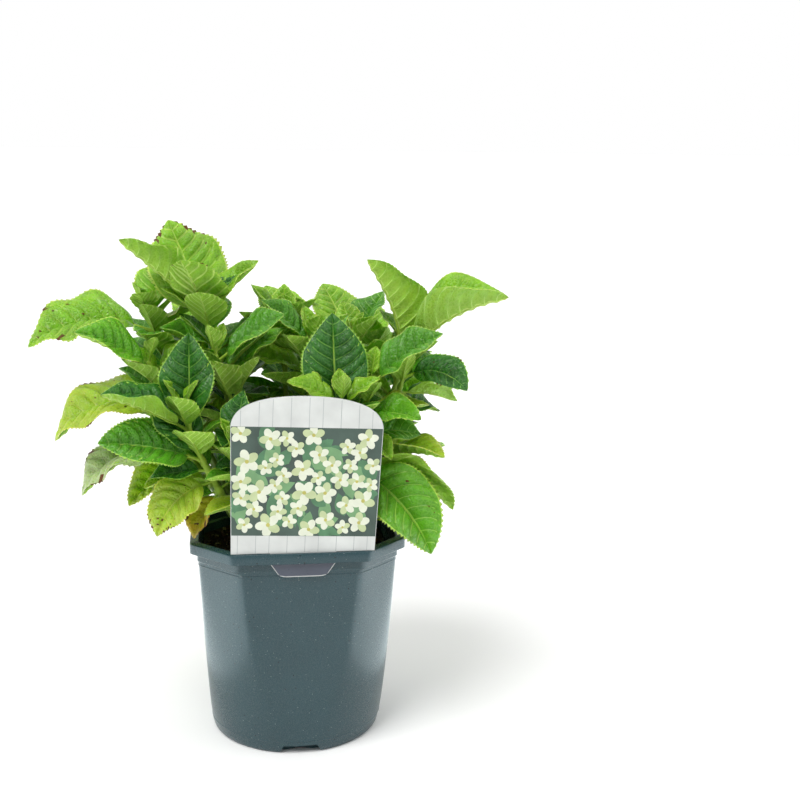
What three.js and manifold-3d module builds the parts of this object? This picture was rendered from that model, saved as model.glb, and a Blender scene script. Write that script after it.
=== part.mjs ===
// A young hydrangea shrub in its square-round grower's pot, with a plain picture card hung on the rim.
// Millimetres, +Z up. The origin is the middle of the pot's underside, and the pot's front flat faces -Y.
import * as THREE from 'three';
import { mergeVertices } from 'three/addons/utils/BufferGeometryUtils.js';
import Module from 'manifold-3d';

const wasm = await Module();
wasm.setup();

// Driving dimensions of the pot
const POT = {
  height: 194,
  lipDrop: 9, // depth of the skirt that hangs from the rim
  lipHalf: 95, // from the axis to the skirt's main flats
  lipCut: 108.9, // from the axis to the skirt's corner flats
  flatHalf: 59, // half the length of a main flat of the skirt
  wall: 1.6,
  ringOut: 76, // the ring that the pot stands on
  ringIn: 68.5,
  recess: 8, // height of the hollow under the base
  footRadius: 22, // flat boss in the middle of the base
  floorTop: 10,
};
// The body at its heights: [z, to the main flats, to the corner flats]
const BODY = [
  [12, 79, 84], [30, 80.3, 88], [60, 82, 91], [95, 83.9, 94], [130, 85.5, 96.6], [160, 87.2, 98.6],
  [175, 88, 99.6],
];
const COLLAR = [176.5, 88.9, 101.4]; // the small stacking step under the lip
const ROUND = { low: 77, high: 103, top: 176, power: 0.8 }; // the cone that rounds the body off
const SOFT_CORNER = 2; // how far the flats and the cone blend into each other

const SLOT = { width: 62, depth: 1.8, y: -91 }; // the card's slot in the rim, at the front
const SIDE_SLOT = { length: 21, width: 1.6, x: 91 };
const NOTCH = { count: 3, width: 30, height: 8, first: 270 }; // drain notches through the standing ring
const SOIL_TOP = 168;
const SOIL_CLEAR = 1.2; // between the soil and the wall, whose facets twist a little
const GAP = 0.3; // between pieces that touch

// Driving dimensions of the card
const CARD = {
  thick: 0.8, centre: 2, bottomHalf: 61.5, shoulderHalf: 64.2, shoulder: 304, top: 331,
  archHigh: 0.75, archFlat: 34, // pull of the arch at its shoulders, and at its top
  lean: 2.1, // degrees that it was cut askew by above its foot
  tabTopHalf: 28.5, tabLowHalf: 19, tabLow: 172.5, tabRound: 5,
};

// Leaves, as shares of the blade's length
const LEAF = {
  width: 0.71, petiole: 0.19, leastPetiole: 7, petioleWide: 2.6, thick: 0.023, leastThick: 1,
  widest: [0.68, 0.84], // powers of the outline at its foot and its tip
  stations: [0.14, 0.42, 0.74, 1],
  smallUnder: 40, smallStations: [0.28, 0.66, 1],
  tipWide: 1.2,
  stalk: 1.5, stalkShares: [0.45, 0.65, 0.85], // a stalk's radius, and where it is kept clear
};
// Stems: radii at the soil, at the first leaves and at the tip
const STEM = {
  foot: 4.2, cane: 3.2, tip: 1.5, sides: 6, caneSteps: 6, stepLength: 22,
  gapSpare: 1.15, // what the gap is widened by, as a shoot's line is longer than its chord
};
// How clear a leaf keeps of other shoots' leaves, of its own shoot's, of stems, and of the card
const CLEAR = {
  leaf: 2.9, own: 0.9, rod: 1.6, card: 3.5,
  stalkShare: 0.6, // of those, for a leaf's stalk
  ownStem: 0.4, ownStemFrom: 12, // from the stem that the leaf grows on, past this distance
};
const RIM_SPARE = 5; // round and above the rim

// One row for each shoot: where it leaves the soil, where it ends, how much it leans before it rises,
// and the height at which its leaves begin. A pair of leaves is [height, leaf, leaf], and a leaf is
// [heading, rise, length, droop, roll, fold] in degrees and mm: heading 0 is +X and 90 is away from the
// front, droop bends the blade down, roll turns it about its midrib and fold lifts both its halves.
// What a row leaves out, and every pair of a shoot with no pairs, comes from the seeded rule.
const SHOOTS = [
  { name: 'left_top', foot: [-26, 4], apex: [-82, 2, 396], lean: 0.45, start: 262, pairs: [
    [352, [-153, 30, 50, 8, -20], [-20, 42, 44, 10, 20]],
    [374, [-118, 62, 74, 30, 0, 16], [120, 56, 98, 10, -24, 6]],
    [385, [-176, 49, 84, 14, 14, 38], [0, 50, 58, 10, 20, 24]],
    [394, [17, 34, 34, 6, 20], [-90, 60, 26, 6]]] },
  { name: 'far_left', foot: [-38, 12], apex: [-130, 22, 384], lean: 0.55, start: 255, pairs: [
    [340, [95, 30, 60, 40]],
    [369, [-169, 19, 98, 58, -24, 16], [10, 35, 46, 16]],
    [382, [75, 48, 58, 20], [-100, 45, 36, 20]]] },
  { name: 'left_mid', foot: [-34, -7], apex: [-128, -24, 350], lean: 0.55, start: 238, pairs: [
    [264, [179, 9, 100, 68, -18, 20], [160, 30, 50, 26, -20, 16]],
    [302, [177, 18, 100, 74, -20, 16], [-10, 40, 40, 16]],
    [339, [-152, 37, 70, 16, -34, 28], [0, 42, 48, 12, 30]]] },
  { name: 'left_low', foot: [-27, -27], apex: [-99, -66, 316], lean: 0.7, start: 218, pairs: [
    [238, [-140, -34, 40, 40], [-166, -2, 32, 24, -20]],
    [248, [-150, -6, 62, 70, -30, 10], [30, 20, 30, 20]],
    [259, [-165, 4, 42, 16, -30], [5, 15, 26, 10, 20]],
    [268, [-158, 24, 80, 20, -38, 16], [-176, 66, 66, 8, -46, 30]],
    [296, [88, 82, 70, 8, -10, 22], [-163, 34, 70, 18, -14, 42]]] },
  { name: 'young_front', foot: [-13, -38], apex: [-58, -80, 286], lean: 0.5, start: 226, pairs: [
    [266, [-121, 50, 30, 16], [40, 40, 26, 10]],
    [282, [40, 80, 44, 4, 0, 20], [165, 74, 36, 6, 0, 20]]] },
  { name: 'centre_left', foot: [-16, -8], apex: [-70, -30, 356], lean: 0.45, start: 246, pairs: [
    [312, [-115, 60, 50, 14, 0, 30], [-32, 60, 46, 12, 0, 30]],
    [332, [11, 44, 60, 12, 16], [180, 40, 34, 12, -20]],
    [350, [-28, 40, 66, 12, 34, 16], [160, 38, 40, 10, -20]]] },
  { name: 'centre_back', foot: [-5, 14], apex: [-8, 30, 374], lean: 0.4, start: 256, pairs: [
    [340, [100, 38, 62, 24]],
    [364, [172, 60, 46, 8], [-5, 48, 38, 14]],
    [373, [86, 70, 32, 8], [-94, 60, 30, 8]]] },
  { name: 'centre', foot: [7, -7], apex: [15, -8, 362], lean: 0.45, start: 246, pairs: [
    [334, [-165, 36, 52, 16, -20], [20, 30, 44, 20]],
    [353, [-170, 46, 56, 12, -30], [25, 45, 42, 12, 20]],
    [361, [-70, 60, 28, 10], [110, 58, 30, 8]]] },
  { name: 'centre_front', foot: [9, -31], apex: [37, -66, 318], lean: 0.5, start: 234, pairs: [
    [282, [-100, 24, 30, 20], [60, 30, 40, 20]],
    [296, [94, 78, 84, 6, 0, 10], [-60, 40, 34, 12]],
    [317, [-176, 32, 44, 16, -30], [0, 40, 34, 12, 20]]] },
  { name: 'right_mid', foot: [22, 1], apex: [55, 4, 362], lean: 0.45, start: 246, pairs: [
    [344, [-20, 30, 40, 20]],
    [356, [114, 46, 66, 12, -14, 10], [48, 50, 56, 14]],
    [361, [-55, 52, 28, 10], [110, 55, 36, 10]]] },
  { name: 'right_top', foot: [36, 10], apex: [105, 6, 356], lean: 0.55, start: 246, pairs: [
    [326, [70, 25, 66, 34]],
    [345, [-165, 80, 84, 30, 8, 56], [-10, 50, 95, 44, 8, 60]],
    [354, [135, 60, 50, 10], [-50, 50, 30, 14]]] },
  { name: 'right_low', foot: [38, -9], apex: [98, -22, 338], lean: 0.6, start: 232, pairs: [
    [300, [35, 8, 52, 36, 20]],
    [318, [6, 4, 48, 34, -10, 34], [-95, 25, 34, 20]],
    [332, [-32, 26, 57, 76, 34, 12], [20, 14, 56, 34, 10]]] },
  { name: 'right_front', foot: [25, -27], apex: [64, -46, 334], lean: 0.6, start: 218, pairs: [
    [256, [-36, -24, 92, 44, 44, 30], [12, -10, 90, 58, -24]],
    [284, [8, 12, 50, 34, 34], [-42, -8, 34, 40, 20]],
    [302, [-26, 14, 50, 34, 30], [25, 16, 52, 22, 10]],
    [330, [-20, 43, 68, 14, 34, 26], [160, 50, 40, 12]]] },
  { name: 'back_left', foot: [-20, 27], apex: [-84, 92, 346], lean: 0.55, start: 232 },
  { name: 'back_centre', foot: [1, 36], apex: [2, 112, 350], lean: 0.55, start: 236 },
  { name: 'back_right', foot: [22, 28], apex: [78, 88, 334], lean: 0.55, start: 232 },
  { name: 'low_left', foot: [-40, 27], apex: [-120, 66, 282], lean: 0.55, start: 216 },
  { name: 'low_right', foot: [42, 20], apex: [104, 58, 274], lean: 0.55, start: 214 },
];
// The seeded rule for the pairs and the leaves that no row gives
const RULE = {
  spacing: 27, firstPair: 14, turn: 90, turnJitter: 14,
  low: { rise: 16, length: 84, droop: 52 }, high: { rise: 50, length: 48, droop: 18 },
  jitter: { rise: 9, length: 0.12, droop: 10 },
  fold: [14, 30], roll: 16,
};
// The last small pair, beside the bud, at a share of the shoot's line
const BUD = { at: 0.995, rise: 66, droop: 8, fold: 34, roll: 8, length: 24 };
// Turns and lifts that a leaf tries, in degrees, until it is clear of what grew before it
const TRIES = [
  [0, 0], [6, 0], [-6, 0], [0, 6], [0, -6], [11, 4], [-11, 4], [11, -6], [-11, -6], [0, 12], [0, -12],
  [18, 0], [-18, 0], [16, 10], [-16, 10], [16, -12], [-16, -12], [27, 0], [-27, 0],
];
const SHRINKS = [1, 0.8, 0.62];
const FEWEST = 17; // a leaf shorter than this is skipped

const radians = (degrees) => degrees * Math.PI / 180;
const mix = (a, b, t) => a + (b - a) * t;

function seeded(seed) {
  let state = seed >>> 0;
  return () => {
    state = (Math.imul(state, 1664525) + 1013904223) >>> 0;
    return state / 4294967296;
  };
}

// Closed solid through rings of equal point counts, with a fan on each end
function loft(rings) {
  const n = rings[0].length;
  const points = rings.flat();
  const middle = (ring) => ring.reduce((sum, p) => sum.add(p), new THREE.Vector3()).divideScalar(n);
  points.push(middle(rings[0]), middle(rings.at(-1)));
  const faces = [];
  for (let i = 0; i < n; i++) {
    const j = (i + 1) % n;
    for (let k = 0; k + 1 < rings.length; k++) {
      const a = k * n, b = a + n;
      faces.push(a + i, a + j, b + j, a + i, b + j, b + i);
    }
    const top = (rings.length - 1) * n;
    faces.push(points.length - 2, j, i, points.length - 1, top + i, top + j);
  }
  const geometry = new THREE.BufferGeometry().setFromPoints(points);
  geometry.setIndex(faces);
  return geometry;
}

function solid(geometry) {
  const plain = geometry.clone();
  plain.deleteAttribute('normal');
  plain.deleteAttribute('uv');
  const merged = mergeVertices(plain);
  return new wasm.Manifold(new wasm.Mesh({
    numProp: 3,
    vertProperties: Float32Array.from(merged.attributes.position.array),
    triVerts: Uint32Array.from(merged.index.array),
  }));
}

function geometryOf(manifold) {
  const mesh = manifold.getMesh();
  const geometry = new THREE.BufferGeometry();
  geometry.setAttribute('position', new THREE.BufferAttribute(mesh.vertProperties, 3));
  geometry.setIndex(new THREE.BufferAttribute(mesh.triVerts, 1));
  return geometry;
}

// Pot
// Bearings of a ring's points, closer together round the eight corners
const CORNER = Math.atan2(POT.flatHalf, POT.lipHalf) * 180 / Math.PI;
const NEAR = 3.4; // degrees from a corner to the next point
const MAIN_FLAT = [-CORNER, -CORNER + NEAR, -20, 0, 20, CORNER - NEAR, CORNER];
const CORNER_FLAT = [CORNER + NEAR, 45, 90 - CORNER - NEAR];
const SIDES = [0, 90, 180, 270];
const BEARINGS = SIDES.flatMap((side) => [...MAIN_FLAT, ...CORNER_FLAT].map((a) => radians(side + a)));

function softLeast(values) {
  const least = Math.min(...values);
  const blend = values.reduce((sum, v) => sum + Math.exp((least - v) / SOFT_CORNER), 0);
  return least - SOFT_CORNER * Math.log(blend);
}

// Distance from the axis at a bearing: square flats, corner flats and a circle, blended
function outline(bearing, flat, corner, circle) {
  const quarter = Math.PI / 2;
  const fromFlat = Math.abs(bearing - quarter * Math.round(bearing / quarter));
  const fromCorner = Math.PI / 4 - fromFlat;
  return softLeast([flat / Math.cos(fromFlat), corner / Math.cos(fromCorner), circle]);
}

const potRing = (z, flat, corner, circle) => BEARINGS.map((b) => {
  const r = outline(b, flat, corner, circle);
  return new THREE.Vector3(r * Math.cos(b), r * Math.sin(b), z);
});
const roundRing = (z, r) => BEARINGS.map((b) => new THREE.Vector3(r * Math.cos(b), r * Math.sin(b), z));
const cone = (z) => mix(ROUND.low, ROUND.high, (z / ROUND.top) ** ROUND.power);
const NO_CIRCLE = 400;

function pot() {
  const { height, lipDrop, lipHalf, lipCut, wall, recess } = POT;
  const skirt = (z, inset) => potRing(z, lipHalf - inset, lipCut - inset, NO_CIRCLE);
  const collarRound = cone(ROUND.top) + 3;
  const collar = (z, inset) => potRing(z, COLLAR[1] - inset, COLLAR[2] - inset, collarRound - inset);
  const wallRing = ([z, flat, corner], inset) => potRing(z, flat - inset, corner - inset, cone(z) - inset);
  const body = loft([
    roundRing(0, POT.footRadius), roundRing(recess, POT.footRadius + 1.5),
    roundRing(recess, POT.ringIn - 2), roundRing(0, POT.ringIn), roundRing(0, POT.ringOut),
    roundRing(2.5, POT.ringOut + 1.6), roundRing(6.5, POT.ringOut + 2.6),
    ...BODY.map((row) => wallRing(row, 0)),
    collar(COLLAR[0], 0), collar(height - 1.6, 0),
    skirt(height - 1.6, 1.5), skirt(height - lipDrop, 1.5), skirt(height - lipDrop, 0),
    skirt(height - 0.8, 0), skirt(height, 0.8),
    collar(height, wall), collar(COLLAR[0], wall),
    ...BODY.map((row) => wallRing(row, wall)).reverse(),
    roundRing(POT.floorTop, POT.ringOut + 0.6),
  ]);
  let shell = solid(body);
  const cut = (box) => { shell = shell.subtract(solid(box)); };
  for (let i = 0; i < NOTCH.count; i++) {
    const box = new THREE.BoxGeometry(14, NOTCH.width, 2 * NOTCH.height);
    box.translate(POT.ringOut - 1, 0, 0).rotateZ(radians(NOTCH.first + i * 360 / NOTCH.count));
    cut(box);
  }
  cut(new THREE.BoxGeometry(SLOT.width, SLOT.depth, 6).translate(CARD.centre, SLOT.y, height));
  for (const side of [-1, 1]) {
    const box = new THREE.BoxGeometry(SIDE_SLOT.width, SIDE_SLOT.length, 6);
    cut(box.translate(side * SIDE_SLOT.x, 0, height));
  }
  return geometryOf(shell);
}

function soil() {
  const inset = POT.wall + SOIL_CLEAR;
  const rows = BODY.filter(([z]) => z < SOIL_TOP);
  const [, topFlat, topCorner] = BODY.find(([z]) => z >= SOIL_TOP);
  const ring = ([z, flat, corner]) => potRing(z, flat - inset, corner - inset, cone(z) - inset);
  return loft([
    roundRing(POT.floorTop + GAP, POT.ringOut - SOIL_CLEAR), ...rows.map(ring),
    ring([SOIL_TOP, topFlat - 0.5, topCorner - 0.5]),
  ]);
}

// Card
// A point of the card, which stands upright but was cut a little askew above its foot
function leant(x, z) {
  const foot = POT.height + GAP;
  const turn = radians(CARD.lean);
  return [
    CARD.centre + x * Math.cos(turn) + (z - foot) * Math.sin(turn),
    foot + (z - foot) * Math.cos(turn) - x * Math.sin(turn),
  ];
}

function cardShape() {
  const { centre, bottomHalf, shoulderHalf, shoulder, top } = CARD;
  const { tabTopHalf, tabLowHalf, tabLow, tabRound } = CARD;
  const foot = POT.height + GAP;
  const under = POT.height - POT.lipDrop;
  const corner = tabLowHalf + tabRound / 2;
  const haunch = shoulder + CARD.archHigh * (top - shoulder);
  const shape = new THREE.Shape();
  shape.moveTo(centre - bottomHalf, foot);
  shape.lineTo(centre - tabTopHalf, foot);
  shape.lineTo(centre - tabTopHalf, under);
  shape.lineTo(centre - corner, tabLow + tabRound / 2);
  shape.quadraticCurveTo(centre - tabLowHalf, tabLow, centre - tabLowHalf + tabRound, tabLow);
  shape.lineTo(centre + tabLowHalf - tabRound, tabLow);
  shape.quadraticCurveTo(centre + tabLowHalf, tabLow, centre + corner, tabLow + tabRound / 2);
  shape.lineTo(centre + tabTopHalf, under);
  shape.lineTo(centre + tabTopHalf, foot);
  shape.lineTo(centre + bottomHalf, foot);
  shape.lineTo(...leant(shoulderHalf, shoulder));
  shape.bezierCurveTo(...leant(shoulderHalf - 1, haunch), ...leant(CARD.archFlat, top), ...leant(0, top));
  shape.bezierCurveTo(...leant(-CARD.archFlat, top), ...leant(1 - shoulderHalf, haunch),
    ...leant(-shoulderHalf, shoulder));
  return shape;
}

function card() {
  const form = { depth: CARD.thick, bevelEnabled: false, curveSegments: 7 };
  const sheet = new THREE.ExtrudeGeometry(cardShape(), form);
  return sheet.rotateX(Math.PI / 2).translate(0, SLOT.y + CARD.thick / 2, 0);
}

// Stems
// A shoot's line from the soil to its tip. Its height rises evenly with t.
class ShootCurve extends THREE.QuadraticBezierCurve3 {
  constructor({ foot, apex, lean }) {
    const from = new THREE.Vector3(foot[0], foot[1], SOIL_TOP + GAP);
    const to = new THREE.Vector3(...apex);
    const half = (from.z + to.z) / 2;
    super(from, new THREE.Vector3(mix(from.x, to.x, lean), mix(from.y, to.y, lean), half), to);
  }
  at(z) {
    return (z - this.v0.z) / (this.v2.z - this.v0.z);
  }
}

function limbRing(centre, along, radius) {
  const side = new THREE.Vector3(0, 1, 0).cross(along).normalize();
  const up = along.clone().cross(side);
  return Array.from({ length: STEM.sides }, (_, i) => {
    const a = 2 * Math.PI * i / STEM.sides;
    const out = side.clone().multiplyScalar(Math.cos(a)).addScaledVector(up, Math.sin(a));
    return centre.clone().addScaledVector(out, radius);
  });
}

// Tapering limb along a curve from t0 to t1. A limb that leaves the soil has a level foot.
function limb(curve, t0, t1, r0, r1, steps) {
  const rings = [];
  for (let i = 0; i <= steps; i++) {
    const t = mix(t0, t1, i / steps);
    const along = t === 0 ? new THREE.Vector3(0, 0, 1) : curve.getTangent(t);
    rings.push(limbRing(curve.getPoint(t), along, mix(r0, r1, i / steps)));
  }
  return loft(rings);
}

// Points down a limb with their radii, for keeping leaves off it
function rods(curve, t0, t1, r0, r1) {
  const count = Math.ceil(curve.v0.distanceTo(curve.v2) * (t1 - t0) / 5);
  return Array.from({ length: count + 1 }, (_, i) => ({
    at: curve.getPoint(mix(t0, t1, i / count)), radius: mix(r0, r1, i / count),
  }));
}

// Leaves
function halfWidth(leaf, u) {
  const [a, b] = LEAF.widest;
  const peak = a / (a + b);
  return leaf.width / 2 * (u / peak) ** a * ((1 - u) / (1 - peak)) ** b;
}

// The middle of a leaf at a distance from its foot on the stem: a straight stalk, then an even bend
function spine(leaf, s) {
  const rise = radians(leaf.rise);
  const heading = radians(leaf.heading);
  const bend = radians(leaf.droop) / leaf.length;
  const a = Math.max(s - leaf.petiole, 0);
  const now = rise - bend * a;
  const bent = Math.abs(bend) > 1e-6;
  const out = bent ? (Math.sin(rise) - Math.sin(now)) / bend : a * Math.cos(rise);
  const lift = bent ? (Math.cos(now) - Math.cos(rise)) / bend : a * Math.sin(rise);
  const stalk = Math.min(s, leaf.petiole);
  const level = out + stalk * Math.cos(rise);
  const outward = new THREE.Vector3(Math.cos(heading), Math.sin(heading), 0);
  const upward = new THREE.Vector3(0, 0, 1);
  const at = outward.clone().multiplyScalar(level).addScaledVector(upward, lift + stalk * Math.sin(rise));
  const along = outward.clone().multiplyScalar(Math.cos(now)).addScaledVector(upward, Math.sin(now));
  const flatSide = upward.cross(outward);
  const side = flatSide.applyAxisAngle(along, radians(leaf.roll));
  return { at: at.add(leaf.foot), side, normal: along.clone().cross(side) };
}

// Left margin, midrib and right margin at a share of the blade
function station(leaf, u, half) {
  const { at, side, normal } = spine(leaf, leaf.petiole + u * leaf.length);
  const fold = radians(leaf.fold);
  const margin = (sign) => at.clone().addScaledVector(side, sign * half * Math.cos(fold))
    .addScaledVector(normal, half * Math.sin(fold));
  return { left: margin(1), middle: at, right: margin(-1), normal };
}

function bladeStations(leaf) {
  const first = station(leaf, 0, LEAF.petioleWide / 2);
  const shares = leaf.length < LEAF.smallUnder ? LEAF.smallStations : LEAF.stations;
  return [first, ...shares.map((u) => station(leaf, u, u < 1 ? halfWidth(leaf, u) : LEAF.tipWide / 2))];
}

function leafSolid(leaf) {
  const thick = Math.max(LEAF.leastThick, LEAF.thick * leaf.length) / 2;
  const root = spine(leaf, 0.5);
  const wide = LEAF.petioleWide / 2;
  const stalkEnd = {
    left: root.at.clone().addScaledVector(root.side, wide),
    middle: root.at,
    right: root.at.clone().addScaledVector(root.side, -wide),
    normal: root.normal,
  };
  const rows = [stalkEnd, ...bladeStations(leaf)];
  const halfThickness = (i) => {
    if (i < 2) return Math.max(thick, wide * 0.8);
    return i === rows.length - 1 ? thick * 0.6 : thick;
  };
  const rings = rows.map(({ left, middle, right, normal }, i) => {
    const rib = normal.clone().multiplyScalar(halfThickness(i));
    return [left, middle.clone().add(rib), right, middle.clone().sub(rib)];
  });
  return loft(rings);
}

// What a leaf takes up, as a bent sheet of triangles with its edges, its points and its stalk
function leafSpace(leaf) {
  const rows = bladeStations(leaf);
  const triangles = [], edges = [], points = [];
  rows.forEach((row, i) => {
    points.push(row.left, row.middle, row.right);
    edges.push([row.left, row.middle], [row.middle, row.right]);
    if (i === 0) return;
    const last = rows[i - 1];
    for (const [p, q] of [['left', 'middle'], ['middle', 'right']]) {
      triangles.push([last[p], last[q], row[q]], [last[p], row[q], row[p]]);
      edges.push([last[p], row[q]]);
    }
    for (const p of ['left', 'middle', 'right']) {
      edges.push([last[p], row[p]]);
      points.push(last[p].clone().lerp(row[p], 0.5));
    }
  });
  const stalk = LEAF.stalkShares.map((k) => ({ at: spine(leaf, leaf.petiole * k).at, radius: LEAF.stalk }));
  return { triangles, edges, points, rods: stalk, box: new THREE.Box3().setFromPoints(points) };
}

function crosses([p, q], [a, b, c]) {
  const ray = q.clone().sub(p), ab = b.clone().sub(a), ac = c.clone().sub(a);
  const h = ray.clone().cross(ac);
  const det = ab.dot(h);
  if (Math.abs(det) < 1e-9) return false;
  const from = p.clone().sub(a);
  const u = from.dot(h) / det;
  if (u < 0 || u > 1) return false;
  const k = from.clone().cross(ab);
  const v = ray.dot(k) / det;
  const t = ac.dot(k) / det;
  return v >= 0 && u + v <= 1 && t >= 0 && t <= 1;
}

const scratch = new THREE.Triangle(), nearest = new THREE.Vector3();
const distance = (p, [a, b, c]) => scratch.set(a, b, c).closestPointToPoint(p, nearest).distanceTo(p);

function touches(one, other, gap) {
  if (!one.box.clone().expandByScalar(gap + LEAF.stalk).intersectsBox(other.box)) return false;
  const toStalk = gap * CLEAR.stalkShare;
  for (const [a, b] of [[one, other], [other, one]]) {
    if (a.edges.some((edge) => b.triangles.some((tri) => crosses(edge, tri)))) return true;
    if (a.points.some((p) => b.triangles.some((tri) => distance(p, tri) < gap))) return true;
    const meetsStalk = (rod) => b.triangles.some((tri) => distance(rod.at, tri) < rod.radius + toStalk);
    if (a.rods.some(meetsStalk)) return true;
  }
  return gap > CLEAR.own && stalkNearRods(one, other.rods);
}

function nearRods(space, limbRods, spare) {
  return limbRods.some((rod) => space.box.distanceToPoint(rod.at) < rod.radius + spare
    && space.triangles.some((tri) => distance(rod.at, tri) < rod.radius + spare));
}

function stalkNearRods(space, limbRods) {
  const meets = (a, b) => a.at.distanceTo(b.at) < a.radius + b.radius + CLEAR.rod;
  return space.rods.some((a) => limbRods.some((b) => meets(a, b)));
}

// The card as a sheet that leaves keep clear of
function cardSpace() {
  const points = cardShape().getPoints(3).map((p) => new THREE.Vector3(p.x, SLOT.y, p.y));
  const middle = new THREE.Vector3(CARD.centre, SLOT.y, (POT.height + CARD.top) / 2);
  const triangles = points.map((p, i) => [middle, p, points[(i + 1) % points.length]]);
  const edges = triangles.flatMap(([m, p, q]) => [[m, p], [p, q]]);
  return { triangles, edges, points, rods: [], box: new THREE.Box3().setFromPoints(points) };
}

const overRim = ({ x, y }) => Math.max(Math.abs(x), Math.abs(y)) < POT.lipHalf + RIM_SPARE
  && (Math.abs(x) + Math.abs(y)) * Math.SQRT1_2 < POT.lipCut + RIM_SPARE;

// Grows the shoots one after another and gives each its stem line and its leaves
function grow() {
  const shoots = SHOOTS.map((row, i) => {
    const curve = new ShootCurve(row);
    const t = curve.at(row.start);
    return {
      ...row, curve, t, random: seeded(101 + 37 * i), leaves: [],
      cane: rods(curve, 0, t, STEM.foot, STEM.cane), stem: rods(curve, t, 1, STEM.cane, STEM.tip),
    };
  });
  const grown = [{ owner: null, space: cardSpace() }];
  const tooLow = (p) => p.z < (overRim(p) ? POT.height + RIM_SPARE : SOIL_TOP);
  const isClear = (shoot, leaf, space) => {
    if (space.points.some(tooLow)) return false;
    for (const other of shoots) {
      if (nearRods(space, other.cane, CLEAR.rod)) return false;
      if (other !== shoot && (nearRods(space, other.stem, CLEAR.rod)
        || stalkNearRods(space, other.stem) || stalkNearRods(space, other.cane))) return false;
    }
    const ownStem = shoot.stem.filter((rod) => rod.at.distanceTo(leaf.foot) > CLEAR.ownStemFrom);
    if (nearRods(space, ownStem, CLEAR.ownStem)) return false;
    return grown.every(({ owner, space: other }) => {
      const gap = owner === shoot ? CLEAR.own : owner ? CLEAR.leaf : CLEAR.card;
      return !touches(space, other, gap);
    });
  };
  // The leaves that the rows give come first, and the longest before the others
  const queue = shoots.flatMap((shoot) => wanted(shoot).map((leaf) => ({ shoot, leaf })));
  queue.sort((a, b) => b.leaf.given - a.leaf.given || b.leaf.length - a.leaf.length);
  for (const { shoot, leaf } of queue) {
    const found = firstClear(leaf, (tried, space) => isClear(shoot, tried, space));
    if (!found) continue;
    shoot.leaves.push(found.leaf);
    grown.push({ owner: shoot, space: found.space });
  }
  return shoots;
}

function firstClear(leaf, isClear) {
  for (const shrink of SHRINKS) {
    for (const [turn, lift] of TRIES) {
      const turned = { ...leaf, heading: leaf.heading + turn, rise: leaf.rise + lift };
      const tried = sized(turned, leaf.length * shrink);
      if (tried.length < FEWEST) return null;
      const space = leafSpace(tried);
      if (isClear(tried, space)) return { leaf: tried, space };
    }
  }
  return null;
}

function sized(leaf, length) {
  const petiole = Math.max(LEAF.leastPetiole, LEAF.petiole * length);
  return { ...leaf, length, width: length * LEAF.width, petiole };
}

// The leaves that a shoot would carry: the pairs of its row, or pairs that turn by a quarter up the
// stem, and a last small pair beside the bud
function wanted(shoot) {
  const { curve, random, apex, foot } = shoot;
  const outward = Math.atan2(apex[1] - foot[1], apex[0] - foot[0]) * 180 / Math.PI;
  const spread = (range) => (2 * random() - 1) * range;
  const count = Math.floor((apex[2] - shoot.start - RULE.firstPair) / RULE.spacing);
  const rows = shoot.pairs ?? Array.from({ length: count + 1 }, (_, i) =>
    [shoot.start + RULE.firstPair + i * (apex[2] - shoot.start - RULE.firstPair) / count]);
  const leaves = [];
  let heading = outward + spread(20);
  for (const [z, first, second] of rows) {
    const t = curve.at(Math.min(z, apex[2]));
    const age = (z - shoot.start) / (apex[2] - shoot.start);
    heading = first ? first[0] : heading + RULE.turn + spread(RULE.turnJitter);
    [first, second].forEach((given, side) => {
      const byRule = ['rise', 'length', 'droop'].map((key) => mix(RULE.low[key], RULE.high[key], age));
      const drawn = [
        heading + 180 * side + spread(8), byRule[0] + spread(RULE.jitter.rise),
        byRule[1] * (1 + spread(RULE.jitter.length)), byRule[2] + spread(RULE.jitter.droop),
      ];
      drawn.push(spread(RULE.roll), mix(RULE.fold[0], RULE.fold[1], random()));
      const [turn, rise, length, droop, roll, fold] = drawn.map((value, i) => given?.[i] ?? value);
      const held = { foot: curve.getPoint(t), heading: turn, rise, droop, roll, fold };
      leaves.push(sized({ ...held, given: given ? 1 : 0 }, length));
    });
  }
  for (const side of [0, 1]) {
    const { at, rise, droop, fold, roll, length } = BUD;
    const held = { foot: curve.getPoint(at), heading: heading + 90 + 180 * side, rise: rise + spread(6) };
    leaves.push(sized({ ...held, droop, fold, roll: spread(roll), given: 0 }, length + spread(4)));
  }
  return leaves;
}

function foliage(shoot) {
  const { curve, t, leaves } = shoot;
  const t0 = t + GAP * STEM.gapSpare / curve.v0.distanceTo(curve.v2);
  const steps = Math.max(3, Math.ceil((shoot.apex[2] - shoot.start) / STEM.stepLength));
  let mass = solid(limb(curve, t0, 1, STEM.cane * 0.98, STEM.tip, steps));
  for (const leaf of leaves) mass = mass.add(solid(leafSolid(leaf)));
  return geometryOf(mass);
}

const group = new THREE.Group();
const FINISH = {
  pot: { color: 0x4f6469, roughness: 0.45, metalness: 0 },
  soil: { color: 0x1d1712, roughness: 0.95, metalness: 0 },
  card: { color: 0xe9ece8, roughness: 0.4, metalness: 0 },
  cane: { color: 0x6f8a3c, roughness: 0.6, metalness: 0 },
  leaf: { color: 0x4f8a26, roughness: 0.45, metalness: 0 },
};
const materials = Object.fromEntries(
  Object.entries(FINISH).map(([name, values]) => [name, new THREE.MeshStandardMaterial(values)]));

function place(name, geometry, finish) {
  geometry.computeVertexNormals();
  const mesh = new THREE.Mesh(geometry, materials[finish]);
  mesh.name = name;
  group.add(mesh);
}

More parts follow.
